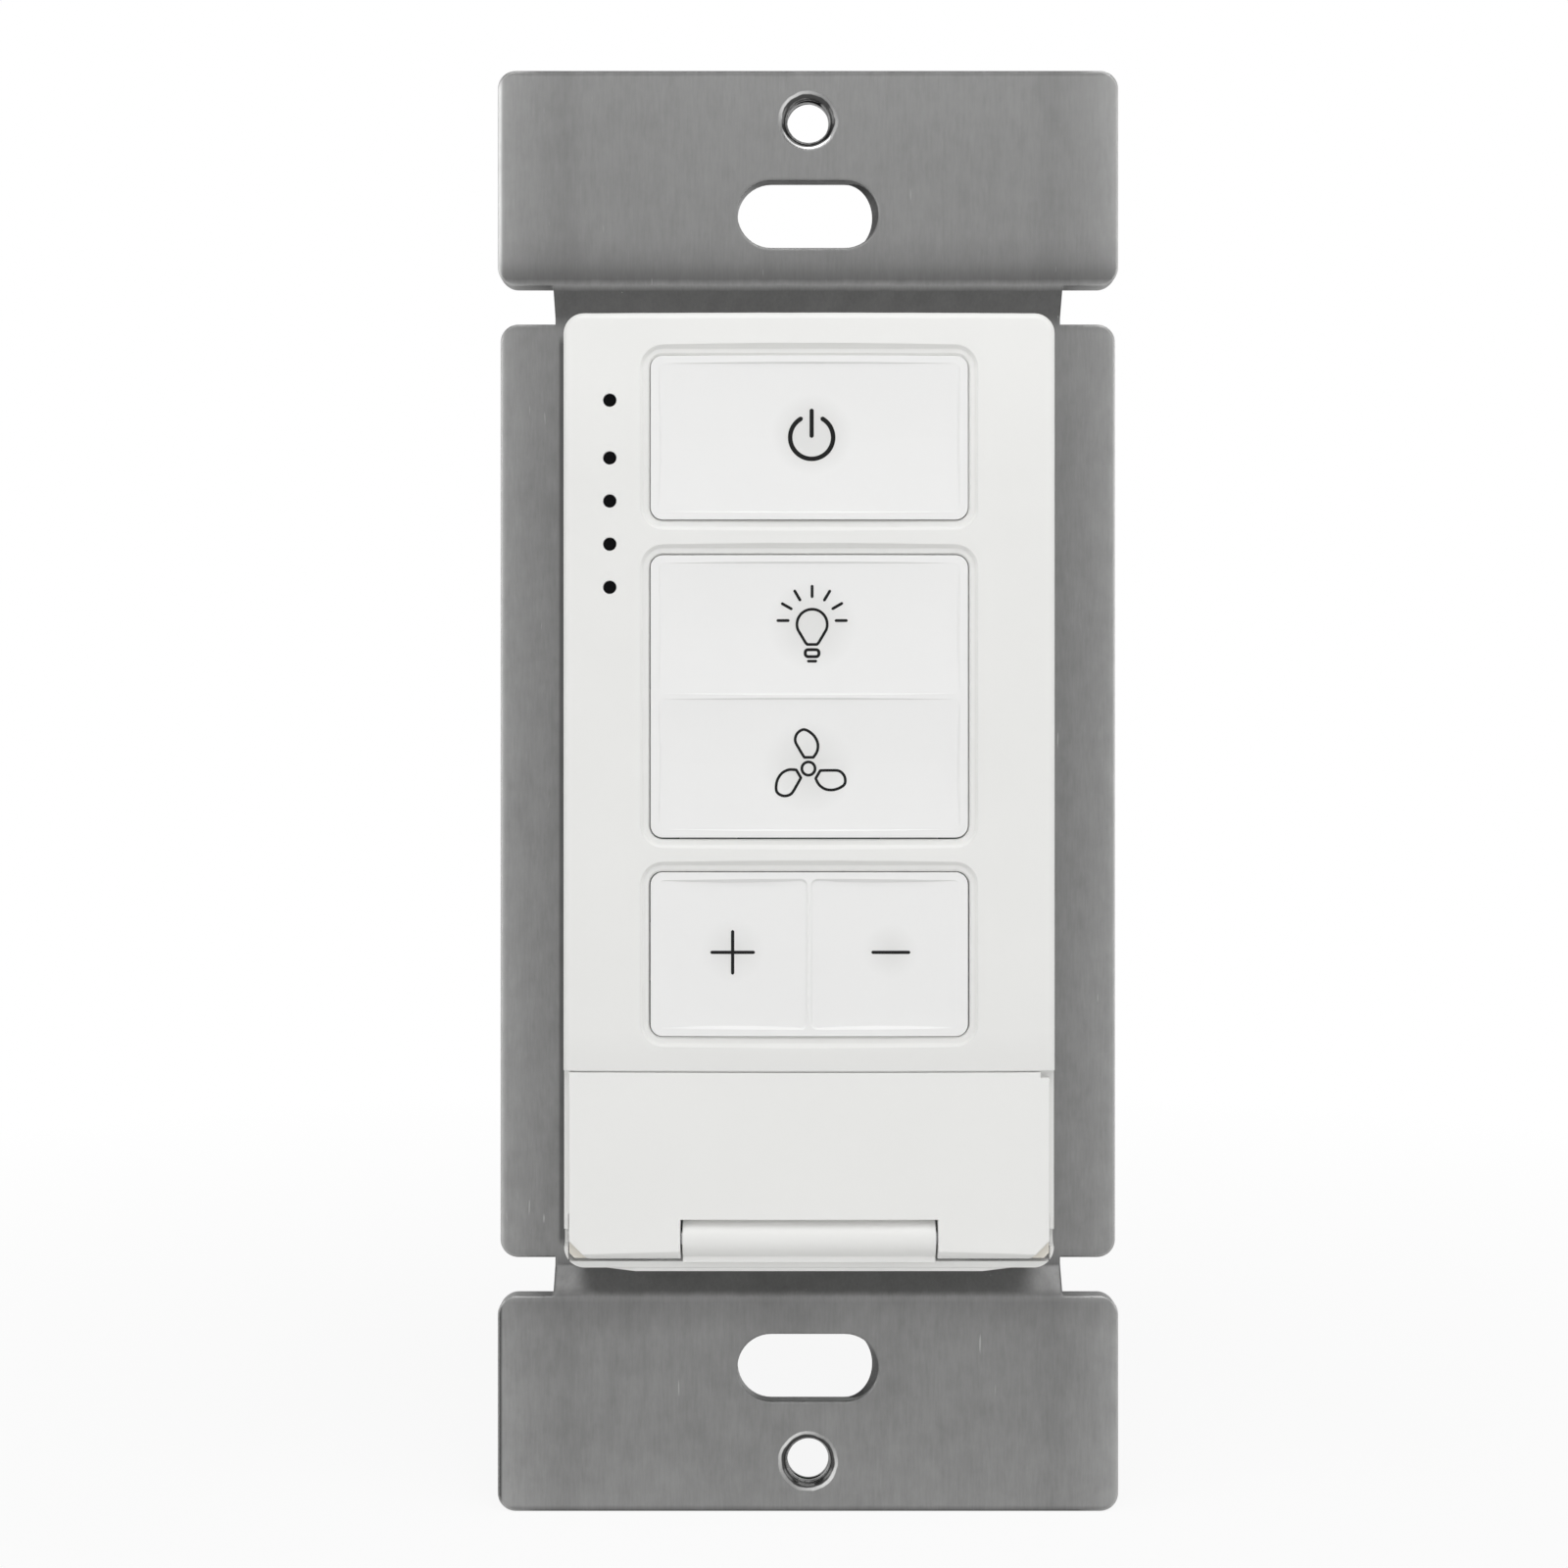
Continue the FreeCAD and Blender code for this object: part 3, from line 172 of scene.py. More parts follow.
def connect(tree, shader, colour, roughness, height, look):
    # colour, roughness and the surface's own fine bumps over softly rounded edges
    tree.links.new(colour, shader.inputs["Base Color"])
    tree.links.new(roughness, shader.inputs["Roughness"])
    normal = addNode(tree, "ShaderNodeBevel", {"Radius": look["edge"] * mm},
                     samples=bevelSamples).outputs[0]
    bump = addNode(tree, "ShaderNodeBump",
                   {"Strength": look["bump"], "Distance": look.get("depth", fineDepth) * mm},
                   {"Height": height, "Normal": normal})
    tree.links.new(bump.outputs[0], shader.inputs["Normal"])


# the part of a noise's values that is spread over a whole range
noiseParts = {"grain": (0.3, 0.7), "tone": (0.36, 0.64), "marks": (0.35, 0.65), "tarnish": (0.4, 0.65),
              "scratch": (0.78, 0.82)}

# moulded plastics

cloudScale = 0.12
wallTurn = (0.1, 0.5)  # how far a surface faces the front, from a wall given all of the painted light to a front given none
# painted light: a look's walls colour is a paler white for walls that face sideways, standing in for light
# bounced into the narrow gaps
whites = {
    "face": {"colour": (0.815, 0.815, 0.80), "shade": (0.785, 0.785, 0.77), "rough": (0.36, 0.48),
             "grain": 5.0, "bump": 0.12, "depth": 0.02, "edge": 0.12, "paintedLitWalls": (0.95, 0.95, 0.94),
             # painted light and shade: the face is lighter towards its top and darker in a band just above
             # the door seam
             "fade": [(-34.0, 1.0), (-19.4, 0.955), (-18.2, 0.96), (-16.5, 0.99), (-10.0, 1.0),
                      (22.0, 1.0), (29.0, 1.03), (34.0, 1.03)]},
    "key": {"colour": (0.835, 0.835, 0.83), "shade": (0.81, 0.81, 0.805), "rough": (0.40, 0.52),
            "grain": 6.0, "bump": 0.10, "depth": 0.02, "edge": 0.05, "paintedLitWalls": (0.95, 0.95, 0.94),
            "halo": 0.9, "haloShade": (0.725, 0.725, 0.715),
            "halos": [(0.19, 24.5, 1.2, 2.8), (0.19, 11.4, 0.9, 3.1), (-0.05, 1.6, 0.7, 3.2),
                      (-5.26, -11.0, 0.0, 2.2), (5.6, -11.0, 0.0, 1.9)]},
    "door": {"colour": (0.825, 0.825, 0.81), "shade": (0.80, 0.80, 0.785), "rough": (0.36, 0.48),
             "grain": 5.0, "bump": 0.12, "depth": 0.02, "edge": 0.12, "paintedLitWalls": (0.95, 0.95, 0.94)},
    # painted shade: the corner layer is a darker, tan copy of the door white
    "corner": {"colour": (0.72, 0.69, 0.62), "shade": (0.68, 0.65, 0.58), "rough": (0.40, 0.52),
               "grain": 5.0, "bump": 0.12, "depth": 0.02, "edge": 0.05},
    "lever": {"colour": (0.78, 0.78, 0.76), "shade": (0.75, 0.75, 0.73), "rough": (0.36, 0.48),
              "grain": 5.0, "bump": 0.12, "depth": 0.02, "edge": 0.10},
    "insulator": {"colour": (0.62, 0.60, 0.52), "shade": (0.56, 0.54, 0.46), "rough": (0.5, 0.62),
                  "grain": 2.0, "bump": 0.2, "depth": 0.02, "edge": 0.05},
}
darks = {
    "housing": {"colour": (0.024, 0.024, 0.026), "shade": (0.037, 0.037, 0.039), "rough": (0.40, 0.64),
                "grain": 2.2, "bump": 0.6, "depth": 0.05, "edge": 0.15},
    "black": {"colour": (0.012, 0.012, 0.013), "shade": (0.02, 0.02, 0.021), "rough": (0.4, 0.55),
              "grain": 4.0, "bump": 0.25, "depth": 0.02, "edge": 0.08},
    "plunger": {"colour": (0.035, 0.035, 0.037), "shade": (0.05, 0.05, 0.052), "rough": (0.4, 0.5),
                "grain": 5.0, "bump": 0.15, "depth": 0.02, "edge": 0.06},
    "dial": {"colour": (0.085, 0.09, 0.095), "shade": (0.11, 0.115, 0.12), "rough": (0.42, 0.52),
             "grain": 5.0, "bump": 0.2, "depth": 0.02, "edge": 0.08},
    "resin": {"colour": (0.011, 0.011, 0.012), "shade": (0.022, 0.021, 0.02), "rough": (0.5, 0.66),
              "grain": 7.0, "bump": 0.4, "depth": 0.02, "edge": 0.06},
}
casings = {
    "relay": {"colour": (0.01, 0.022, 0.07), "shade": (0.014, 0.03, 0.09), "rough": (0.24, 0.34),
              "grain": 4.0, "bump": 0.08, "edge": 0.25},
    "capacitor": {"colour": (0.34, 0.29, 0.17), "shade": (0.40, 0.34, 0.20), "rough": (0.26, 0.36),
                  "grain": 3.0, "bump": 0.1, "edge": 0.3},
    "varistor": {"colour": (0.012, 0.04, 0.16), "shade": (0.016, 0.05, 0.2), "rough": (0.22, 0.36),
                 "grain": 1.2, "bump": 0.4, "depth": 0.06, "edge": 0.5},
    "fuse": {"colour": (0.015, 0.013, 0.013), "shade": (0.022, 0.02, 0.02), "rough": (0.24, 0.34),
             "grain": 3.0, "bump": 0.1, "edge": 0.3},
}


def mouldedPlastic(name, look):
    # faintly clouded, with darker rounds behind the signs where the look asks for them, and painted light and
    # shade by height and on the walls where it asks for those
    material, tree, shader = newFinish(name, IOR=1.49)
    cloud = noise(tree, cloudScale, detail=2.0)
    colour = blendColours(tree, cloud, look["colour"], look["shade"])
    for x, z, inner, outer in look.get("halos", []):
        near = spread(tree, reachFrom(tree, x, z), look["halo"], 0.0, inner, outer)
        colour = blendColours(tree, near, colour, look["haloShade"])
    # painted light and shade: the colour is scaled by height through the look's ramp
    if "fade" in look:
        height = splitVector(tree, millimetres(tree))["Z"]
        colour = blendColours(tree, 1.0, colour, levels(tree, height, look["fade"]), "MULTIPLY")
    if "paintedLitWalls" in look:
        # painted light: walls that face sideways, such as those of the narrow gaps, are paler than the front,
        # standing in for light bounced into the gaps
        normal = addNode(tree, "ShaderNodeTexCoord").outputs["Normal"]
        front = maths(tree, "ABSOLUTE", splitVector(tree, normal)["Y"])
        colour = blendColours(tree, spread(tree, front, 1.0, 0.0, *wallTurn), colour, look["paintedLitWalls"])
    grain = noise(tree, look["grain"], detail=4.0, rough=0.6)
    roughness = spread(tree, grain, *look["rough"], *noiseParts["grain"])
    connect(tree, shader, colour, roughness, grain, look)
    return material


# metals

tarnishScale = 0.45
sheet = {
    "colour": (0.335, 0.335, 0.333), "shade": (0.262, 0.262, 0.26), "bareAndHighlight": (0.66, 0.66, 0.655),
    "streaks": 5.5, "run": 0.11, "broad": 0.18, "stains": 0.22, "patches": 4, "patchRun": 0.7,
    "shares": {"streaks": 0.31, "broad": 0.11, "stains": 0.34, "patches": 0.24},
    "rough": (0.36, 0.46), "bump": 0.12, "edge": 0.3, "waver": 0.04,
    "scratches": 2.6, "scratchRun": 0.12, "scratched": 0.35,
    # painted highlight on the outer side edges, in the bright steel colour that real scratches also take
    "sideEdgeHighlight": 0.8, "sideEdgeHighlightAcross": (19.5, 21.5), "sideEdgeHighlightGain": 0.1,
    # painted highlight and shade round the plate holes: dark and bright rings with painted glints; burnish
    # only lowers the roughness there
    "holes": [(0, 48.42), (0, -48.42)], "burrScale": 0.9, "burr": 0.035, "glint": 0.12, "burnish": 0.3,
    "rings": [(1.5, 1.0), (1.62, 1.4), (1.70, 0.25), (1.90, 0.30), (1.97, 2.9), (2.12, 2.9), (2.18, 1.0)],
    # painted shade on the sheet beside the face, and a painted highlight band with a darker line at its outer
    # edges
    "across": [(16.0, 0.86), (17.5, 0.80), (20.5, 0.94), (21.9, 1.08), (22.1, 1.2), (22.3, 1.2),
               (22.4, 0.8)],
    # painted highlight and shade along the left rim: rimTone darkens its lower end and lightens its middle
    # and top
    "leftRim": [(-22.4, 1.0), (-22.32, 1.0), (-22.14, 1.0), (-22.04, 0.0), (22.4, 0.0)],
    "rimTone": [(-52.0, 0.12), (-36.6, 0.2), (-36.2, 1.25), (36.2, 1.25), (36.6, 2.2), (52.0, 2.2)],
    # painted shadow on the sheet just left of the face
    "beside": [(-22.4, 0.0), (-18.1, 0.0), (-18.03, 0.5), (-16.5, 0.5), (-16.4, 0.0), (22.4, 0.0)],
    "besideEnds": (32.6, 33.2),
    # painted shade in the bends and at the very ends, with painted highlight lines along the bend crests and
    # near the ends
    "bends": [(-52.0, 0.55), (-51.85, 0.6), (-51.75, 1.16), (-46.0, 1.04), (-39.0, 1.0), (-37.0, 0.86),
              (-36.5, 1.1), (-36.2, 0.7), (-34.4, 0.72), (-33.6, 1.0), (33.6, 1.0), (34.4, 0.58),
              (36.2, 0.52), (36.5, 1.3), (36.75, 0.56), (37.4, 0.66), (38.3, 0.88), (40.0, 1.04),
              (51.75, 1.05), (51.85, 0.6), (52.0, 0.55)],
}
metals = {
    "bright": {"colour": (0.50, 0.50, 0.51), "shade": (0.42, 0.42, 0.43), "rough": (0.22, 0.34),
               "marks": 6.0, "bump": 0.1, "edge": 0.06},
    "clamp": {"colour": (0.42, 0.42, 0.41), "shade": (0.33, 0.33, 0.32), "rough": (0.3, 0.44),
              "marks": 5.0, "bump": 0.15, "edge": 0.08},
    "brass": {"colour": (0.60, 0.40, 0.13), "shade": (0.46, 0.29, 0.10), "rough": (0.24, 0.38),
              "marks": 5.0, "bump": 0.12, "edge": 0.06},
    "nickel": {"colour": (0.58, 0.57, 0.53), "shade": (0.46, 0.45, 0.42), "rough": (0.2, 0.32),
               "marks": 5.0, "bump": 0.12, "edge": 0.06},
    # painted shadow: the dark colour of the crescents at the slot ends
    "sheared": {"colour": (0.12, 0.12, 0.12), "shade": (0.08, 0.08, 0.08), "rough": (0.36, 0.5),
                "marks": 5.0, "bump": 0.15, "edge": 0.04},
    "can": {"colour": (0.55, 0.55, 0.57), "shade": (0.48, 0.48, 0.5), "rough": (0.2, 0.3),
            "marks": 3.0, "stretch": (1, 0.1, 1), "bump": 0.1, "edge": 0.3},
}
tapped = {"colour": (0.30, 0.30, 0.30), "shade": (0.12, 0.12, 0.12), "rough": (0.1, 0.2),
          "marks": 6.0, "stretch": (1, 6, 1), "bump": 0.1, "edge": 0.03}
ground = {"green": (0.015, 0.14, 0.035), "steel": (0.42, 0.42, 0.41), "rough": (0.26, 0.42),
          "wear": 2.5, "wornEdge": 0.15, "wornGain": 0.5, "marks": 4.0, "bump": 0.12, "edge": 0.08}


def sheetTones(tree, place, patches, look):
    # painted shade in the bends and beside the face, painted highlights along the bend crests and outer
    # edges, and painted highlight and shade along the left rim
    across = maths(tree, "ABSOLUTE", place["X"])
    waver = spread(tree, patches, -look["waver"], look["waver"], *noiseParts["grain"])
    along = plus(tree, place["Z"], waver)
    # painted shade beside the face and in the bends, painted highlight bands on the outer edges and bend
    # crests
    tones = times(tree, levels(tree, across, look["across"]), levels(tree, along, look["bends"]))
    # painted highlight and shade along the left rim: darkest at the bottom, lightest at the top
    rimTone = maths(tree, "SUBTRACT", levels(tree, place["Z"], look["rimTone"]), 1.0)
    rim = times(tree, levels(tree, place["X"], look["leftRim"]), rimTone)
    tones = times(tree, tones, plus(tree, rim, 1.0))
    # painted shadow on the sheet just left of the face, stopping short of its ends
    ends = spread(tree, maths(tree, "ABSOLUTE", place["Z"]), 1.0, 0.0, *look["besideEnds"])
    beside = times(tree, levels(tree, place["X"], look["beside"]), ends)
    return times(tree, tones, maths(tree, "SUBTRACT", 1.0, beside))


def holeRings(tree, place, look):
    # a painted highlight ring round each plate hole over a darker painted ring, with painted glints brightest
    # at its upper left and lower right; the distance also returned makes the burnished zone smoother
    near = reachFrom(tree, *look["holes"][0])
    for x, z in look["holes"][1:]:
        near = maths(tree, "MINIMUM", near, reachFrom(tree, x, z))
    burr = noise(tree, look["burrScale"], detail=2.0)
    near = plus(tree, near, spread(tree, burr, -look["burr"], look["burr"], *noiseParts["marks"]))
    rings = levels(tree, near, look["rings"])
    middle = times(tree, maths(tree, "SIGN", place["Z"]), look["holes"][0][1])
    height = maths(tree, "SUBTRACT", place["Z"], middle)
    angle = maths(tree, "ARCTAN2", height, place["X"])
    around = maths(tree, "SINE", times(tree, angle, 2.0))
    bright = maths(tree, "SUBTRACT", maths(tree, "MAXIMUM", rings, 1.0), 1.0)
    glint = times(tree, bright, spread(tree, around, 1.0, look["glint"], -1.0, 1.0))
    return near, times(tree, maths(tree, "MINIMUM", rings, 1.0), plus(tree, glint, 1.0))


def platedSteel(name, look):
    # rolled sheet: fine streaks along its length, faint stains and scratches, with painted light and shade in
    # bands, rims and rings and a painted highlight on its outer side edges
    material, tree, shader = newFinish(name, Metallic=1.0)
    run, shares = look["run"], look["shares"]
    streaks = noise(tree, look["streaks"], (1, 1, run), detail=4.0, rough=0.65)
    broad = noise(tree, look["streaks"] * look["broad"], (1, 1, run * 2), detail=2.0)
    stains = noise(tree, look["stains"], detail=5.0, rough=0.62)
    patches = noise(tree, look["stains"] * look["patches"], (1, 1, look["patchRun"]), detail=3.0,
                    rough=0.55)
    tone = times(tree, streaks, shares["streaks"])
    for layer, share in ((broad, "broad"), (stains, "stains"), (patches, "patches")):
        tone = plus(tree, tone, times(tree, layer, shares[share]))
    colour = blendColours(tree, spread(tree, tone, 0.0, 1.0, *noiseParts["tone"]), look["colour"],
                          look["shade"])
    place = splitVector(tree, millimetres(tree))
    # painted light and shade scale the colour: the sheet's painted tones and the painted rings round the
    # holes
    near, rings = holeRings(tree, place, look)
    tones = times(tree, sheetTones(tree, place, patches, look), rings)
    colour = blendColours(tree, 1.0, colour, tones, "MULTIPLY")
    scratch = noise(tree, look["scratches"], (1, 1, look["scratchRun"]), detail=1.0)
    scratch = times(tree, spread(tree, scratch, 0.0, 1.0, *noiseParts["scratch"]), look["scratched"])
    # painted highlight on the outer side edges, in the bright steel colour that the real scratches also take
    across = maths(tree, "ABSOLUTE", place["X"])
    sideEdgeHighlight = times(tree, edgeMask(tree, look["edge"], look["sideEdgeHighlightGain"]),
                   spread(tree, across, 0.0, look["sideEdgeHighlight"], *look["sideEdgeHighlightAcross"]))
    colour = blendColours(tree, maths(tree, "MAXIMUM", scratch, sideEdgeHighlight), colour, look["bareAndHighlight"])
    inner, outer = look["rings"][-2][0], look["rings"][-1][0]
    roughness = times(tree, spread(tree, tone, *look["rough"], *noiseParts["tone"]),
                      spread(tree, near, look["burnish"], 1.0, inner, outer))
    connect(tree, shader, colour, roughness, streaks, look)
    return material


def turnedMetal(name, look):
    # small turned or stamped parts: fine marks, slightly tarnished in patches
    material, tree, shader = newFinish(name, Metallic=1.0)
    marks = noise(tree, look["marks"], look.get("stretch", (1, 1, 1)), detail=4.0, rough=0.6)
    patches = noise(tree, tarnishScale, detail=4.0, rough=0.6)
    tarnish = spread(tree, patches, 0.0, 1.0, *noiseParts["tarnish"])
    colour = blendColours(tree, tarnish, look["colour"], look["shade"])
    roughness = spread(tree, marks, *look["rough"], *noiseParts["marks"])
    connect(tree, shader, colour, roughness, marks, look)
    return material


def tappedSteel(name, look):
    # cut thread: bright flanks with fine tool marks, dark where oil stays
    material, tree, shader = newFinish(name, Metallic=1.0)
    marks = noise(tree, look["marks"], look["stretch"], detail=3.0)
    oil = spread(tree, marks, 0.0, 1.0, *noiseParts["tarnish"])
    colour = blendColours(tree, oil, look["colour"], look["shade"])
    connect(tree, shader, colour, spread(tree, marks, *look["rough"]), marks, look)
    return material


def greenSteel(name, look):
    # ground screw: steel under a thin green finish, worn through on its edges
    material, tree, shader = newFinish(name, Metallic=0.75, Coat_Weight=0.3, Coat_Roughness=0.2)
    worn = times(tree, edgeMask(tree, look["wornEdge"], look["wornGain"]),
                 noise(tree, look["wear"], detail=4.0))
    colour = blendColours(tree, worn, look["green"], look["steel"])
    marks = noise(tree, look["marks"], detail=4.0)
    connect(tree, shader, colour, spread(tree, marks, *look["rough"]), marks, look)
    return material


# clear plastics, ink, board and windings

guide = {"surface": {"IOR": 1.49, "Specular_IOR_Level": 0.06}, "colour": (0.0015, 0.0015, 0.002),
         "shade": (0.004, 0.004, 0.0045), "cloud": 1.5, "marks": 6.0, "rough": (0.12, 0.24),
         "bump": 0.05, "edge": 0.06}
resin = {"surface": {"IOR": 1.5, "Transmission_Weight": 0.5}, "colour": (0.7, 0.72, 0.66),
         "shade": (0.78, 0.8, 0.74), "cloud": 2.0, "marks": 5.0, "rough": (0.1, 0.25),
         "bump": 0.08, "edge": 0.05}
padInk = {"colour": (0.004, 0.004, 0.004), "shade": (0.012, 0.012, 0.012), "wear": 7.0,
          "rough": (0.36, 0.5), "bump": 0.15, "depth": 0.005, "edge": 0.01}
laminate = {"mask": (0.006, 0.075, 0.03), "track": (0.012, 0.13, 0.05), "glass": (0.01, 0.10, 0.045),
            "weave": 3.0, "glassShare": 0.25, "rough": (0.28, 0.4), "bump": 0.5, "depth": 0.02,
            "edge": 0.05, "offset": 0.37,
            "tracks": {"Scale": 0.4, "Mortar Size": 0.05, "Mortar Smooth": 0.2, "Row Height": 1.1,
                       "Brick Width": 5.0}}
winding = {"gap": (0.16, 0.045, 0.015), "wire": (0.62, 0.24, 0.08), "centre": (-5.1, 20.6), "turns": 64,
           "cloud": 2.0, "rough": (0.22, 0.36), "bump": 0.8, "depth": 0.15, "edge": 0.2}


def clearPlastic(name, look):
    # the light guide, smoked until it reads as black dots, and the clear caps of the lights
    material, tree, shader = newFinish(name, **look["surface"])
    colour = blendColours(tree, noise(tree, look["cloud"]), look["colour"], look["shade"])
    marks = noise(tree, look["marks"])
    connect(tree, shader, colour, spread(tree, marks, *look["rough"]), marks, look)
    return material


def printedInk(name, look):
    # pad printed symbols, dense and slightly glossier than the key
    material, tree, shader = newFinish(name, IOR=1.5, Specular_IOR_Level=0.2)
    wear = noise(tree, look["wear"], detail=4.0)
    colour = blendColours(tree, wear, look["colour"], look["shade"])
    connect(tree, shader, colour, spread(tree, wear, *look["rough"]), wear, look)
    return material


def boardLaminate(name, look):
    # green solder mask over straight copper tracks, with the weave of the laminate below
    material, tree, shader = newFinish(name, IOR=1.5, Coat_Weight=0.4, Coat_Roughness=0.15)
    place = splitVector(tree, millimetres(tree))
    flat = addNode(tree, "ShaderNodeCombineXYZ", links={0: place["X"], 1: place["Z"]}).outputs[0]
    pattern = {"Color1": (0, 0, 0, 1), "Color2": (0, 0, 0, 1), "Mortar": (1, 1, 1, 1), **look["tracks"]}
    tracks = addNode(tree, "ShaderNodeTexBrick", pattern, {"Vector": flat}, offset=look["offset"]).outputs[0]
    weave = noise(tree, look["weave"], detail=1.0)
    colour = blendColours(tree, tracks, look["mask"], look["track"])
    colour = blendColours(tree, spread(tree, weave, 0.0, look["glassShare"]), colour, look["glass"])
    connect(tree, shader, colour, spread(tree, weave, *look["rough"]), tracks, look)
    return material


def woundCopper(name, look):
    # enamelled wire laid round a ring core, seen as fine radial turns
    material, tree, shader = newFinish(name, Metallic=0.9)
    middle = (-look["centre"][0], 0, -look["centre"][1])
    offset = addNode(tree, "ShaderNodeVectorMath", {1: middle}, {0: millimetres(tree)}, operation="ADD")
    parts = splitVector(tree, offset.outputs[0])
    angle = maths(tree, "ARCTAN2", parts["Z"], parts["X"])
    ridge = maths(tree, "ABSOLUTE", maths(tree, "SINE", times(tree, angle, look["turns"] / 2)))
    colour = blendColours(tree, ridge, look["gap"], look["wire"])
    connect(tree, shader, colour, spread(tree, noise(tree, look["cloud"]), *look["rough"]), ridge, look)
    return material


finishes = {
    "strap_steel": platedSteel("platedSheet", sheet),
    "face_plastic": mouldedPlastic("faceWhite", whites["face"]),
    "key_plastic": mouldedPlastic("keyWhite", whites["key"]),
    "door_plastic": mouldedPlastic("doorWhite", whites["door"]),
    "guide_plastic": clearPlastic("smokedGuide", guide),
    "pin_steel": turnedMetal("brightSteel", metals["bright"]),
    "lever_plastic": mouldedPlastic("leverWhite", whites["lever"]),
    "dial_plastic": mouldedPlastic("dialGrey", darks["dial"]),
    "switch_plastic": mouldedPlastic("switchBlack", darks["black"]),
    "plunger_plastic": mouldedPlastic("plungerGrey", darks["plunger"]),
    "board_laminate": boardLaminate("boardGreen", laminate),
    "insulator_sheet": mouldedPlastic("insulatorIvory", whites["insulator"]),
    "chip_resin": mouldedPlastic("chipResin", darks["resin"]),
    "connector_plastic": mouldedPlastic("connectorBlack", darks["black"]),
    "ferrite": woundCopper("woundCopper", winding),
    "can_aluminium": turnedMetal("canAluminium", metals["can"]),
    "relay_case": mouldedPlastic("relayBlue", casings["relay"]),
    "capacitor_case": mouldedPlastic("capacitorOchre", casings["capacitor"]),
    "varistor_coat": mouldedPlastic("varistorBlue", casings["varistor"]),
    "fuse_case": mouldedPlastic("fuseBlack", casings["fuse"]),
    "housing_plastic": mouldedPlastic("housingBlack", darks["housing"]),
    "ground_steel": greenSteel("groundGreen", ground),
    "light_resin": clearPlastic("clearResin", resin),
    "contact_brass": turnedMetal("stampedBrass", metals["brass"]),
    "clamp_steel": turnedMetal("clampZinc", metals["clamp"]),
    "screw_brass": turnedMetal("screwBrass", metals["brass"]),
    "screw_nickel": turnedMetal("screwNickel", metals["nickel"]),
}
ink = printedInk("printedInk", padInk)
thread = tappedSteel("tappedSteel", tapped)
cornerCreamInShade = mouldedPlastic("cornerCreamInShade", whites["corner"])
sheared = turnedMetal("shearedSteel", metals["sheared"])

slotOf = {part["node"]: part["material_slot"] for part in frame["record"]["subparts"]}
for name, part in cadNodes.items():
    finish = finishes[slotOf[name]]
    if part.material_slots:
        for place in part.material_slots:
            place.material = finish
    else:
        part.data.materials.append(finish)
print("finishes given:", len(finishes))

# meshes

def makeObject(name, mesh, body, finish):
    made = bpy.data.objects.new(name, mesh)
    bpy.context.scene.collection.objects.link(made)
    mesh.materials.append(finish)
    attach(made, body)
    return made


def joinLoops(bm, loops):
    # quads between each loop of points and the next one
    for first, second in zip(loops, loops[1:]):
        for n in range(len(first)):
            after = (n + 1) % len(first)
            bm.faces.new((first[n], first[after], second[after], second[n]))


def meshFrom(bm, name, degrees=None):
    # with degrees, smooth shading that keeps edges sharper than that angle
    bmesh.ops.recalc_face_normals(bm, faces=bm.faces)
    mesh = bpy.data.meshes.new(name)
    bm.to_mesh(mesh)
    bm.free()
    if degrees:
        smoothTo(mesh, degrees)
    return mesh


def smoothTo(mesh, degrees):
    for face in mesh.polygons:
        face.use_smooth = True
    mesh.set_sharp_from_angle(angle=math.radians(degrees))


def loopSolid(name, loops, endless=False, degrees=None):
    # a closed mesh through loops of (x, y, z) points in mm, endless like a ring or with flat ends
    bm = bmesh.new()
    loops = [[bm.verts.new([value * mm for value in point]) for point in loop] for loop in loops]
    if endless:
        joinLoops(bm, loops + loops[:1])
    else:
        joinLoops(bm, loops)
        bm.faces.new(loops[0])
        bm.faces.new(loops[-1])
    return meshFrom(bm, name, degrees)


def surfaceOf(name):
    mesh = cadNodes[name].data
    return BVHTree.FromPolygons([v.co for v in mesh.vertices], [list(p.vertices) for p in mesh.polygons])


def frontAt(surface, x, z):
    # where this surface is met from the front, in metres along Y, looked for from 10 mm before it all
    start = Vector((x * mm, cadBox[0].y - 10 * mm, z * mm))
    return surface.ray_cast(start, Vector((0, 1, 0)))[0].y


def arcPoints(x, z, radius, start, stop, count):
    angles = [math.radians(start + (stop - start) * k / count) for k in range(count + 1)]
    return [(x + radius * math.cos(a), z + radius * math.sin(a)) for a in angles]


def roundedLoop(x, z, halfX, halfZ, radius, steps):
    loop = []
    for sideX, sideZ, start in ((1, 1, 0), (-1, 1, 90), (-1, -1, 180), (1, -1, 270)):
        loop += arcPoints(x + sideX * (halfX - radius), z + sideZ * (halfZ - radius), radius,
                          start, start + 90, steps)
    return loop


# printed symbols on the keys and the floor of the bay, placed from the middle of the control

inkForm = {"step": 0.07, "lift": 0.012, "sunk": 0.02, "leastEnd": 0.1}
powerSign = {"x": 0.17, "z": 24.32, "radius": 1.478, "line": 0.31, "gap": 24.5, "steps": 60,
             "barLow": 24.28, "barHigh": 26.30, "barLine": 0.29}
bulbSign = {"x": 0.20, "z": 11.47, "radius": 1.04, "line": 0.19, "globe": (-22, 202, 48), "neckZ": 10.09,
            "neck": 0.45, "neckBend": 0.12, "capZ": 9.49, "capWide": 0.94, "capTall": 0.48,
            "capCorner": 0.2, "capSteps": 6, "capLine": 0.21, "footZ": 8.94, "foot": 0.71,
            "footLine": 0.19, "rays": (0, 30, 59, 90, 120.5, 150.5, 180), "rayZ": 11.73,
            "rayStart": 1.54, "rayStop": 2.46, "rayLine": 0.2}
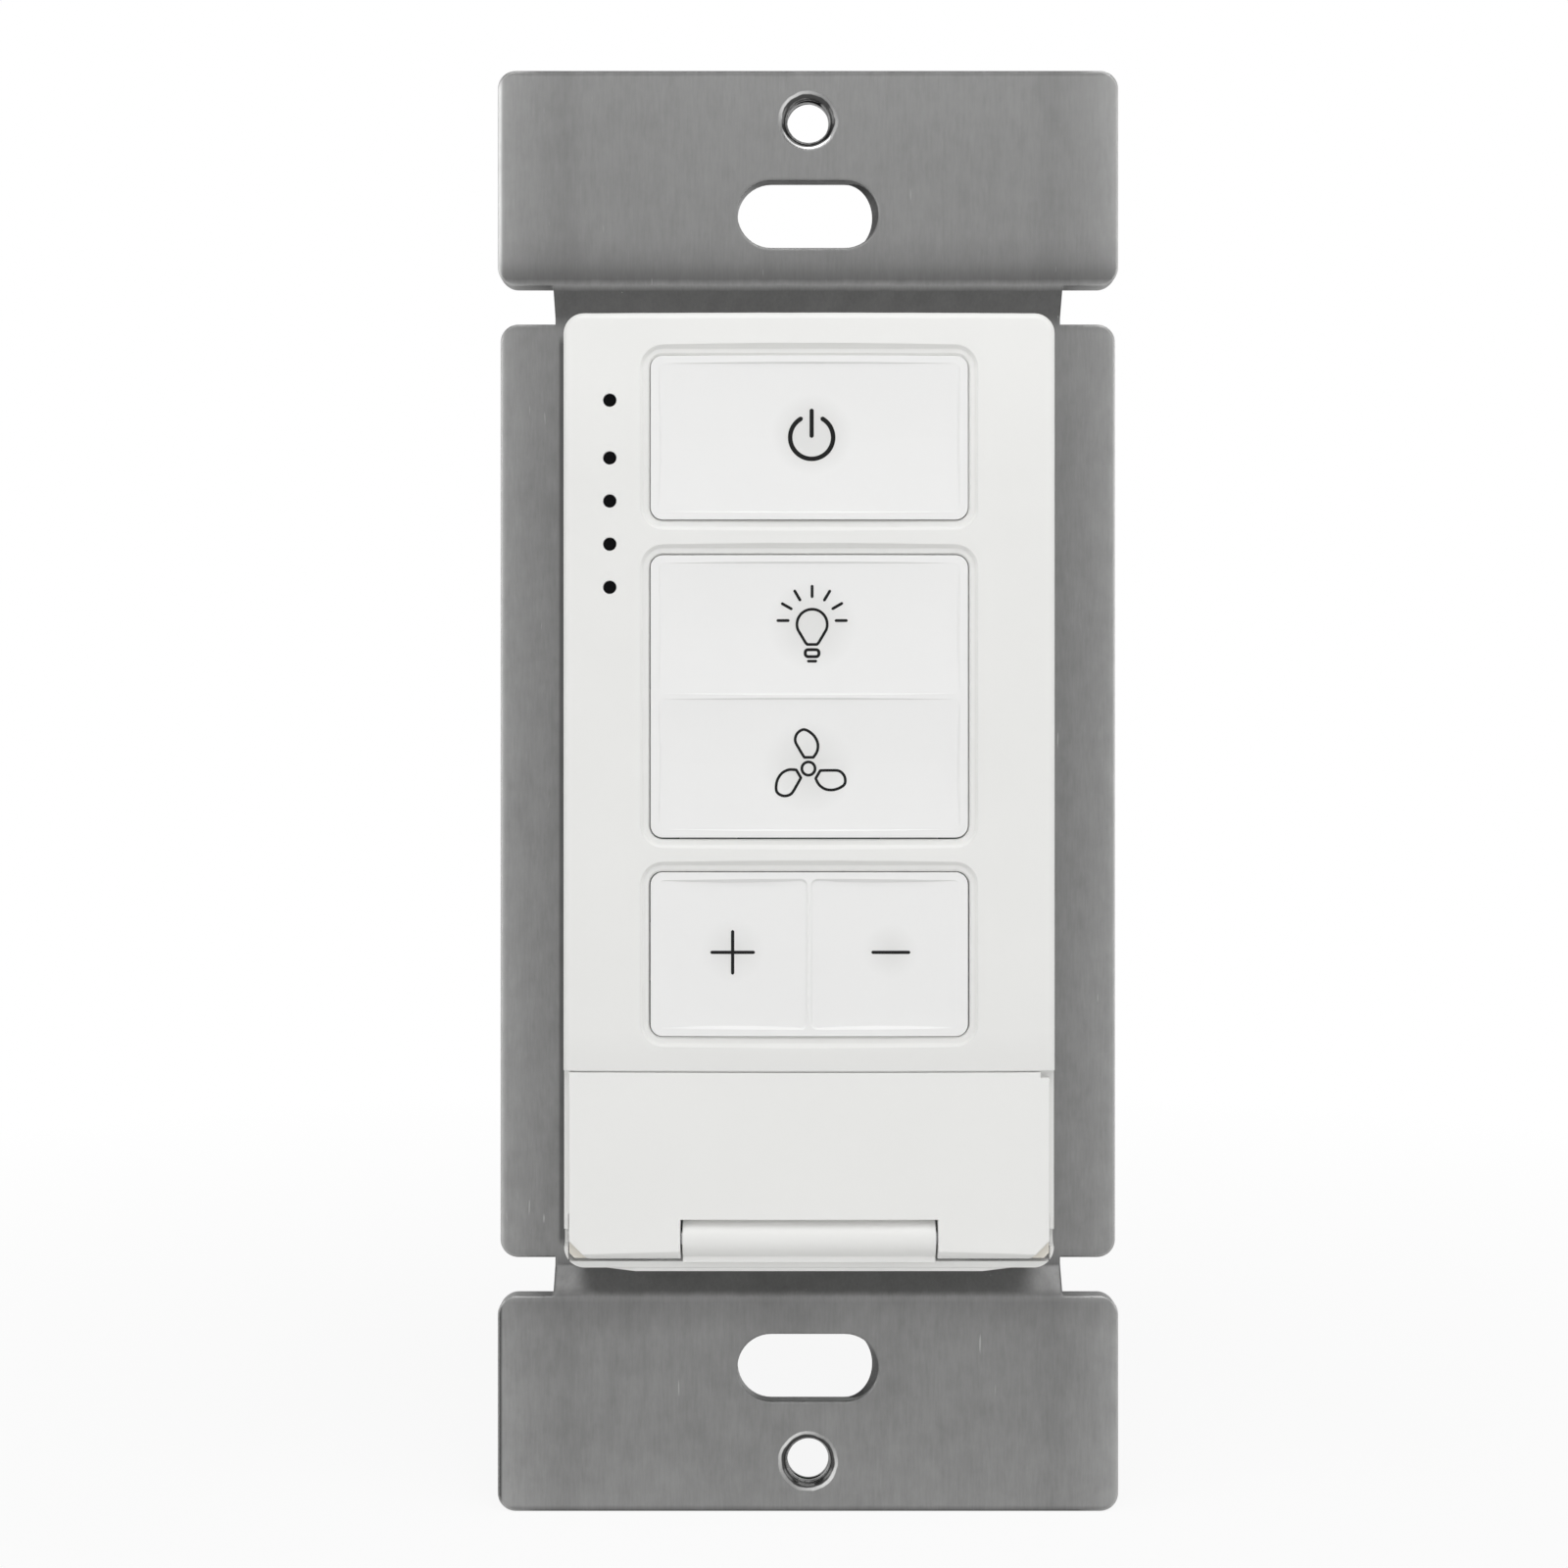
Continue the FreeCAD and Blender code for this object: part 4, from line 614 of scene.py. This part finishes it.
fanSign = {"x": -0.05, "z": 1.56, "hub": 0.456, "hubArc": (0, 350, 30), "line": 0.19,
           "blades": (0, 120, 240), "steps": 6,
           "blade": [(-0.29, 0.77), (-0.62, 1.32), (-0.90, 1.86), (-0.85, 2.28), (-0.62, 2.56),
                     (-0.30, 2.68), (0.06, 2.53), (0.42, 2.20), (0.64, 1.72), (0.60, 1.20),
                     (0.34, 0.77)]}
levelSigns = {"plusX": -5.26, "minusX": 5.61, "z": -11.07, "plus": 3.08, "minus": 2.70, "line": 0.225}
bayMarks = {"wedgeX": 1.6, "wedgeZ": -24.39, "wedgeTall": 4.4, "wedgeLow": 0.1, "wedgeHigh": 1.0,
            "barMore": 0.15, "bars": 6, "line": 0.22}


def evenPath(points, step):
    # the same line with points at most one step apart, in mm
    path = [points[0]]
    for start, stop in zip(points, points[1:]):
        pieces = max(1, math.ceil(math.dist(start, stop) / step))
        for k in range(1, pieces + 1):
            path.append((start[0] + (stop[0] - start[0]) * k / pieces,
                         start[1] + (stop[1] - start[1]) * k / pieces))
    return path


def strokeRings(path, width, closed):
    # left and right points of a stroke of this width, with rounded ends where it is open
    half = width / 2
    lengths = [0.0]
    for start, stop in zip(path, path[1:]):
        lengths.append(lengths[-1] + math.dist(start, stop))
    rings = []
    for k, (x, z) in enumerate(path):
        before = path[k - 1] if k or closed else path[0]
        after = path[(k + 1) % len(path)] if k + 1 < len(path) or closed else path[-1]
        run = math.dist(before, after)
        side = ((after[1] - before[1]) / run, -(after[0] - before[0]) / run)
        reach = half
        if not closed:
            inside = min(lengths[k], lengths[-1] - lengths[k], half)
            reach = max(math.sqrt(half ** 2 - (half - inside) ** 2), inkForm["leastEnd"] * half)
        rings.append(((x + side[0] * reach, z + side[1] * reach),
                      (x - side[0] * reach, z - side[1] * reach)))
    return rings


def inkStrokes(name, strokes, surface, body):
    # strokes are (points in mm, width in mm, closed) and lie on the surface they are printed on
    lift, sunk = inkForm["lift"], inkForm["sunk"]
    bm = bmesh.new()
    for points, width, closed in strokes:
        path = evenPath(points + points[:1] if closed else points, inkForm["step"])
        if closed:
            path = path[:-1]
        loops = []
        for left, right in strokeRings(path, width, closed):
            corners = ((left, sunk), (left, -lift), (right, -lift), (right, sunk))
            loops.append([bm.verts.new((x * mm, frontAt(surface, x, z) + level * mm, z * mm))
                          for (x, z), level in corners])
        if closed:
            joinLoops(bm, loops + loops[:1])
        else:
            joinLoops(bm, loops)
            bm.faces.new(loops[0][::-1])
            bm.faces.new(loops[-1])
    return makeObject(name, meshFrom(bm, name), body, ink)


def powerStrokes(sign):
    ring = arcPoints(sign["x"], sign["z"], sign["radius"], 90 + sign["gap"], 450 - sign["gap"],
                     sign["steps"])
    bar = [(sign["x"], sign["barLow"]), (sign["x"], sign["barHigh"])]
    return [(ring, sign["line"], False), (bar, sign["barLine"], False)]


def bulbStrokes(sign):
    x, z, bend = sign["x"], sign["z"], sign["neckBend"]
    globe = arcPoints(x, z, sign["radius"], *sign["globe"])
    neck = [(x + side * (sign["neck"] - inward), sign["neckZ"] + up)
            for side, inward, up in ((-1, 0, bend), (-1, bend, 0), (1, bend, 0), (1, 0, bend))]
    cap = roundedLoop(x, sign["capZ"], sign["capWide"] / 2, sign["capTall"] / 2, sign["capCorner"],
                      sign["capSteps"])
    foot = [(x - sign["foot"] / 2, sign["footZ"]), (x + sign["foot"] / 2, sign["footZ"])]
    strokes = [(globe + neck, sign["line"], True), (cap, sign["capLine"], True),
               (foot, sign["footLine"], False)]
    for angle in sign["rays"]:
        way = (math.cos(math.radians(angle)), math.sin(math.radians(angle)))
        ray = [(x + way[0] * reach, sign["rayZ"] + way[1] * reach)
               for reach in (sign["rayStart"], sign["rayStop"])]
        strokes.append((ray, sign["rayLine"], False))
    return strokes


def smoothRun(points, steps):
    # an open curve through these points; its ends stay sharp where it is closed by a straight line
    curve = []
    last = len(points) - 1
    for k in range(last):
        a, b, c, d = (Vector(points[min(max(k + shift, 0), last)]) for shift in (-1, 0, 1, 2))
        for step in range(steps):
            t = step / steps
            at = b + (c - a) * (t / 2) + (2 * a - 5 * b + 4 * c - d) * (t * t / 2)
            at += (3 * b - a - 3 * c + d) * (t ** 3 / 2)
            curve.append(tuple(at))
    return curve + [points[-1]]


def fanStrokes(sign):
    middle = Vector((sign["x"], sign["z"]))
    strokes = [(arcPoints(sign["x"], sign["z"], sign["hub"], *sign["hubArc"]), sign["line"], True)]
    for angle in sign["blades"]:
        turn = Matrix.Rotation(math.radians(angle), 2)
        blade = [tuple(middle + turn @ Vector(point)) for point in smoothRun(sign["blade"], sign["steps"])]
        strokes.append((blade, sign["line"], True))
    return strokes


def levelStrokes(sign):
    z, line = sign["z"], sign["line"]
    half, minusHalf = sign["plus"] / 2, sign["minus"] / 2
    return [([(sign["plusX"] - half, z), (sign["plusX"] + half, z)], line, False),
            ([(sign["plusX"], z - half), (sign["plusX"], z + half)], line, False),
            ([(sign["minusX"] - minusHalf, z), (sign["minusX"] + minusHalf, z)], line, False)]


def wedgeStrokes(marks):
    # a column of bars that widen upwards: less below, more above
    strokes = []
    for k in range(marks["bars"]):
        share = k / (marks["bars"] - 1)
        half = (marks["wedgeLow"] + (marks["wedgeHigh"] - marks["wedgeLow"]) * share) / 2 + marks["barMore"]
        z = marks["wedgeZ"] + (share - 0.5) * marks["wedgeTall"]
        strokes.append(([(marks["wedgeX"] - half, z), (marks["wedgeX"] + half, z)], marks["line"], False))
    return strokes


lightFanFront = surfaceOf("light_fan_key")
inkStrokes("powerSymbol", powerStrokes(powerSign), surfaceOf("power_key"), "power_key")
inkStrokes("bulbSymbol", bulbStrokes(bulbSign), lightFanFront, "light_fan_key")
inkStrokes("fanSymbol", fanStrokes(fanSign), lightFanFront, "light_fan_key")
inkStrokes("levelSymbols", levelStrokes(levelSigns), surfaceOf("level_key"), "level_key")
print("symbols printed on the keys")

inkStrokes("bayWedge", wedgeStrokes(bayMarks), surfaceOf("face_frame"), "base")
print("bay marked")

# lips that narrow the seams round the keys; a rocker's tilting ends need more room than its still sides

lipForm = {"half": 11.05, "radius": 1.0, "sunk": 0.05, "front": -8.2, "back": -7.5, "steps": 8,
           "smooth": 30}
lipSizes = {"powerLip": {"z": 24.29, "half": 5.78, "wide": 0.09, "tall": 0.09},
            "lightFanLip": {"z": 6.515, "half": 9.845, "wide": 0.07, "tall": 0.05},
            "levelLip": {"z": -11.19, "half": 5.78, "wide": 0.05, "tall": 0.09}}


def openingLip(form, size):
    outer = roundedLoop(0, size["z"], form["half"] + form["sunk"], size["half"] + form["sunk"],
                        form["radius"] + form["sunk"], form["steps"])
    inner = roundedLoop(0, size["z"], form["half"] - size["wide"], size["half"] - size["tall"],
                        form["radius"] - (size["wide"] + size["tall"]) / 2, form["steps"])
    edges = ((outer, "front"), (inner, "front"), (inner, "back"), (outer, "back"))
    loops = [[(x, form[level], z) for x, z in loop] for loop, level in edges]
    return loopSolid("openingLip", loops, endless=True, degrees=form["smooth"])


for name, size in lipSizes.items():
    makeObject(name, openingLip(lipForm, size), "base", finishes["face_plastic"])
print("key openings lipped")

# a lip that narrows the seam over the door; it follows the face's crown, found just above the seam

doorLipForm = {"half": 16.2, "z": -19.2, "sunk": 0.03, "tall": 0.045, "under": 0.04, "back": -7.5,
               "above": 0.12, "steps": 36}


def doorSeamLip(form):
    surface = surfaceOf("face_frame")
    high, low = form["z"] + form["sunk"], form["z"] - form["tall"]
    loops = []
    for k in range(form["steps"] + 1):
        x = form["half"] * (2 * k / form["steps"] - 1)
        front = frontAt(surface, x, form["z"] + form["above"]) / mm + form["under"]
        loops.append([(x, front, high), (x, front, low), (x, form["back"], low), (x, form["back"], high)])
    return loopSolid("doorSeamLip", loops)


makeObject("doorSeamLip", doorSeamLip(doorLipForm), "base", finishes["face_plastic"])
print("door seam lipped")

# the lower layer of the door, which shows outside its two chamfered corners; its darker tan colour is painted
# shade

cornerForm = {"outline": [(15.1, -32.12), (16.15, -32.12), (16.5, -31.77), (16.5, -30.72)],
              "front": -8.0, "back": -7.42}


def cornerStep(form, side):
    loops = [[(side * x, form[level], z) for x, z in form["outline"]] for level in ("front", "back")]
    return loopSolid("cornerStep", loops)


for name, side in (("doorCornerLeft", -1), ("doorCornerRight", 1)):
    makeObject(name, cornerStep(cornerForm, side), "door", cornerCreamInShade)
print("door corners stepped")

# threads cut in the two holes for the cover plate's screws

tapForm = {"z": (48.42, -48.42), "pitch": 0.79, "crest": 1.49, "root": 1.62, "outer": 1.66,
           "gain": 1.35, "front": -0.86, "back": -0.03, "around": 64, "along": 30, "smooth": 40}


def threadRadius(form, turns):
    # from root to crest and back in one turn; the gain makes a flat of the crest
    rise = min(1.0, form["gain"] * (1 - abs(2 * (turns % 1.0) - 1)))
    return form["root"] + (form["crest"] - form["root"]) * rise


def tappedRing(form, z):
    # a thin sleeve in the hole; its bore is the thread, its outside is sunk into the sheet
    around, along = form["around"], form["along"]
    length = form["back"] - form["front"]
    angles = [2 * math.pi * n / around for n in range(around)]
    loops = []
    for k in range(along + 1):
        y = form["front"] + length * k / along
        loop = []
        for n, a in enumerate(angles):
            radius = threadRadius(form, y / form["pitch"] + n / around)
            loop.append((radius * math.cos(a), y, z + radius * math.sin(a)))
        loops.append(loop)
    for y in (form["back"], form["front"]):
        loops.append([(form["outer"] * math.cos(a), y, z + form["outer"] * math.sin(a)) for a in angles])
    return loopSolid("tappedRing", loops, endless=True, degrees=form["smooth"])


for name, z in zip(("upperPlateThread", "lowerPlateThread"), tapForm["z"]):
    makeObject(name, tappedRing(tapForm, z), "base", thread)
print("plate holes tapped")

# a dark crescent at the right end of each oval slot, a painted shadow

slotForm = {"z": (41.67, -41.67), "middle": 2.65, "radius": 2.45, "deep": 0.42, "sunk": 0.04,
            "front": -1.15, "back": -0.04, "reach": 80, "steps": 28, "smooth": 30}


def slotShadeCrescent(form, z):
    outer, deepest = form["radius"] + form["sunk"], form["radius"] - form["deep"]
    loops = []
    for k in range(form["steps"] + 1):
        angle = math.radians(form["reach"] * (2 * k / form["steps"] - 1))
        outside = form["middle"] + outer * math.cos(angle), z + outer * math.sin(angle)
        inside = form["middle"] + deepest * math.cos(angle), z + form["radius"] * math.sin(angle)
        loops.append([(x, form[level], up)
                      for (x, up), level in ((outside, "front"), (outside, "back"), (inside, "back"))])
    return loopSolid("slotShadeCrescent", loops, degrees=form["smooth"])


for name, z in zip(("upperSlotWall", "lowerSlotWall"), slotForm["z"]):
    makeObject(name, slotShadeCrescent(slotForm, z), "base", sheared)
print("slots shadowed")

# terminal screws, with real threads and combination heads

screwForm = {"pitch": 0.8, "crest": 2.0, "root": 1.72, "tip": 14.1, "tipShare": 0.82, "runIn": 0.7,
             "gain": 1.25, "perTurn": 14, "around": 56, "seat": 17.5, "headRadius": 3.5, "headTall": 2.0,
             "under": 0.15, "edge": 0.45, "edgeSteps": 6, "top": 0.5, "y": 22.0, "smooth": 32}
driverForm = {"slotWide": 1.0, "slotDeep": 0.75, "slotReach": 5, "slotOver": 1, "crossWide": 0.85,
              "crossLong": 3.4, "crossDeep": 1.1, "crossOver": 0.1, "taper": 0.55}
terminals = {"line": (-1, 11.0), "neutral": (-1, -11.0), "light": (1, 11.0), "fan": (1, -11.0)}


def threadedScrew(form):
    # built along +X from its tip; every loop has the same number of points
    around, tipRadius = form["around"], form["root"] * form["tipShare"]
    rows = []
    steps = int((form["seat"] - form["tip"]) / form["pitch"] * form["perTurn"])
    for k in range(steps + 1):
        x = form["tip"] + (form["seat"] - form["tip"]) * k / steps
        grown = min(1.0, (x - form["tip"]) / form["runIn"])
        row = []
        for n in range(around):
            radius = threadRadius(form, x / form["pitch"] - n / around)
            row.append((x, tipRadius + (radius - tipRadius) * grown))
        rows.append(row)
    top, shoulder = form["seat"] + form["headTall"], form["headRadius"] - form["edge"]
    head = [(form["seat"], form["headRadius"] - form["under"]),
            (form["seat"] + form["under"], form["headRadius"])]
    for k in range(form["edgeSteps"] + 1):
        a = math.radians(90 * k / form["edgeSteps"])
        head.append((top - form["edge"] + form["edge"] * math.sin(a), shoulder + form["edge"] * math.cos(a)))
    head.append((top, form["headRadius"] * form["top"]))
    rows += [[point] * around for point in head]
    angles = [2 * math.pi * (n / around) for n in range(around)]
    loops = [[(x, radius * math.cos(a), radius * math.sin(a)) for (x, radius), a in zip(row, angles)]
             for row in rows]
    return loopSolid("terminalScrew", loops)


def boxCut(low, high, taper=1.0):
    # a cutter with a smaller floor, for driver recesses that face +X
    bm = bmesh.new()
    corners = []
    for x, share in ((low[0], taper), (high[0], 1.0)):
        for y, z in ((low[1], low[2]), (high[1], low[2]), (high[1], high[2]), (low[1], high[2])):
            corners.append(bm.verts.new((x * mm, y * share * mm, z * share * mm)))
    for side in ((0, 1, 2, 3), (4, 5, 6, 7), (0, 1, 5, 4), (1, 2, 6, 5), (2, 3, 7, 6), (3, 0, 4, 7)):
        bm.faces.new([corners[corner] for corner in side])
    made = bpy.data.objects.new("cutter", meshFrom(bm, "cutter"))
    bpy.context.scene.collection.objects.link(made)
    return made


def driverCuts(form, top):
    # a straight slot and a cross, as wide as they are named, from the top of the head
    slotHalf, crossHalf, crossLong = form["slotWide"] / 2, form["crossWide"] / 2, form["crossLong"] / 2
    slotFloor, crossFloor, crossTop = top - form["slotDeep"], top - form["crossDeep"], top + form["crossOver"]
    return [boxCut((slotFloor, -slotHalf, -form["slotReach"]),
                   (top + form["slotOver"], slotHalf, form["slotReach"])),
            boxCut((crossFloor, -crossHalf, -crossLong), (crossTop, crossHalf, crossLong), form["taper"]),
            boxCut((crossFloor, -crossLong, -crossHalf), (crossTop, crossLong, crossHalf), form["taper"])]


def cutAway(mesh, cutters):
    # takes the cutters out of the mesh and leaves only the result behind
    holder = bpy.data.objects.new("holder", mesh)
    bpy.context.scene.collection.objects.link(holder)
    for cutter in cutters:
        step = holder.modifiers.new("cut", "BOOLEAN")
        step.operation = "DIFFERENCE"
        step.solver = "EXACT"
        step.object = cutter
    bpy.context.view_layer.update()
    result = bpy.data.meshes.new_from_object(holder.evaluated_get(bpy.context.evaluated_depsgraph_get()))
    for spare in [holder, *cutters]:
        bpy.data.objects.remove(spare)
    return result


screwTop = screwForm["seat"] + screwForm["headTall"]
screwMesh = cutAway(threadedScrew(screwForm), driverCuts(driverForm, screwTop))
smoothTo(screwMesh, screwForm["smooth"])
for name, (side, z) in terminals.items():
    mesh = screwMesh.copy()
    mesh.transform(Matrix.Translation((0, screwForm["y"] * mm, z * mm)) @ Matrix.Scale(side, 4, (1, 0, 0)))
    if side < 0:
        mesh.flip_normals()
    kind = "screw_nickel" if name == "neutral" else "screw_brass"
    screw = makeObject(name + "TerminalScrew", mesh, name + "_screw", finishes[kind])
    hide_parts(name + "_screw")
print("terminal screws threaded")

# studio

studio = {"floor": (0.86, 0.86, 0.855), "floorSize": 6.0, "floorDrop": 0.05, "floorRough": 0.9,
          "floorSheen": 0.1, "nearWhite": 0.90, "whiteFrom": 50, "whiteBy": 200, "glossWhite": 0.50,
          "horizon": 0.84, "poles": 0.14, "horizonTo": 0.2, "polesFrom": 0.8}
lamps = {
    "keyBox": ((0.04, -0.22, 0.36), (0.4, 0.3), 1.0),
    "rightBox": ((0.5, -0.3, 0.0), (0.25, 0.6), 0.85),
    "leftBox": ((-0.5, -0.3, 0.0), (0.25, 0.6), 1.05),
}
view = {"place": (-1.73, -145.6, 0.5), "lens": 45.9, "sensor": 36.0, "nearest": 0.005}


def paleFloor(look):
    place = (0, 0, cadBox[0].z - look["floorDrop"] * mm)
    bpy.ops.mesh.primitive_plane_add(size=look["floorSize"], location=place)
    floor = bpy.context.object
    floor.name = "paleFloor"
    material, tree, shader = newFinish("paleFloor", Roughness=look["floorRough"],
                                       Specular_IOR_Level=look["floorSheen"])
    shader.inputs["Base Color"].default_value = (*look["floor"], 1)
    white = addNode(tree, "ShaderNodeEmission", {"Color": (1, 1, 1, 1), "Strength": 1.0}).outputs[0]
    rays = addNode(tree, "ShaderNodeLightPath").outputs
    far = addNode(tree, "ShaderNodeVectorMath", links={0: millimetres(tree)}, operation="LENGTH")
    fade = spread(tree, far.outputs["Value"], look["nearWhite"], 1.0, look["whiteFrom"], look["whiteBy"])
    seen = times(tree, rays["Is Camera Ray"], fade)
    mirrored = times(tree, rays["Is Glossy Ray"], look["glossWhite"])
    share = plus(tree, seen, mirrored)
    mix = addNode(tree, "ShaderNodeMixShader", links={0: share, 1: shader.outputs[0], 2: white})
    tree.links.new(mix.outputs[0], tree.nodes["Material Output"].inputs["Surface"])
    floor.data.materials.append(material)


def softWorld(look):
    # an even studio: palest at the height of the eye, greyer overhead and underfoot
    world = bpy.data.worlds.new("softStudio")
    bpy.context.scene.world = world
    world.use_nodes = True
    tree = world.node_tree
    background = tree.nodes["Background"]
    way = addNode(tree, "ShaderNodeTexCoord").outputs["Generated"]
    height = maths(tree, "ABSOLUTE", splitVector(tree, way)["Z"])
    level = spread(tree, height, look["horizon"], look["poles"], look["horizonTo"], look["polesFrom"])
    rays = addNode(tree, "ShaderNodeLightPath").outputs
    tone = blendColours(tree, rays["Is Camera Ray"], level, (1, 1, 1))
    tree.links.new(tone, background.inputs["Color"])
    background.inputs["Strength"].default_value = 1.0


def softbox(name, place, size, power):
    light = bpy.data.lights.new(name, "AREA")
    light.shape = "RECTANGLE"
    light.size, light.size_y = size
    light.energy = power
    made = bpy.data.objects.new(name, light)
    made.location = place
    made.rotation_euler = (-Vector(place)).to_track_quat("-Z", "Y").to_euler()
    bpy.context.scene.collection.objects.link(made)


def photoCamera(look):
    camera = bpy.data.objects.new("photoCamera", bpy.data.cameras.new("photoCamera"))
    camera.data.lens = look["lens"]
    camera.data.sensor_width = look["sensor"]
    camera.data.clip_start = look["nearest"]
    camera.location = [value * mm for value in look["place"]]
    camera.rotation_euler = (math.radians(90), 0, 0)
    bpy.context.scene.collection.objects.link(camera)
    bpy.context.scene.camera = camera


paleFloor(studio)
softWorld(studio)
for name, (place, size, power) in lamps.items():
    softbox(name, place, size, power)
photoCamera(view)
bpy.context.scene.view_settings.view_transform = "Standard"
print("studio and camera set")
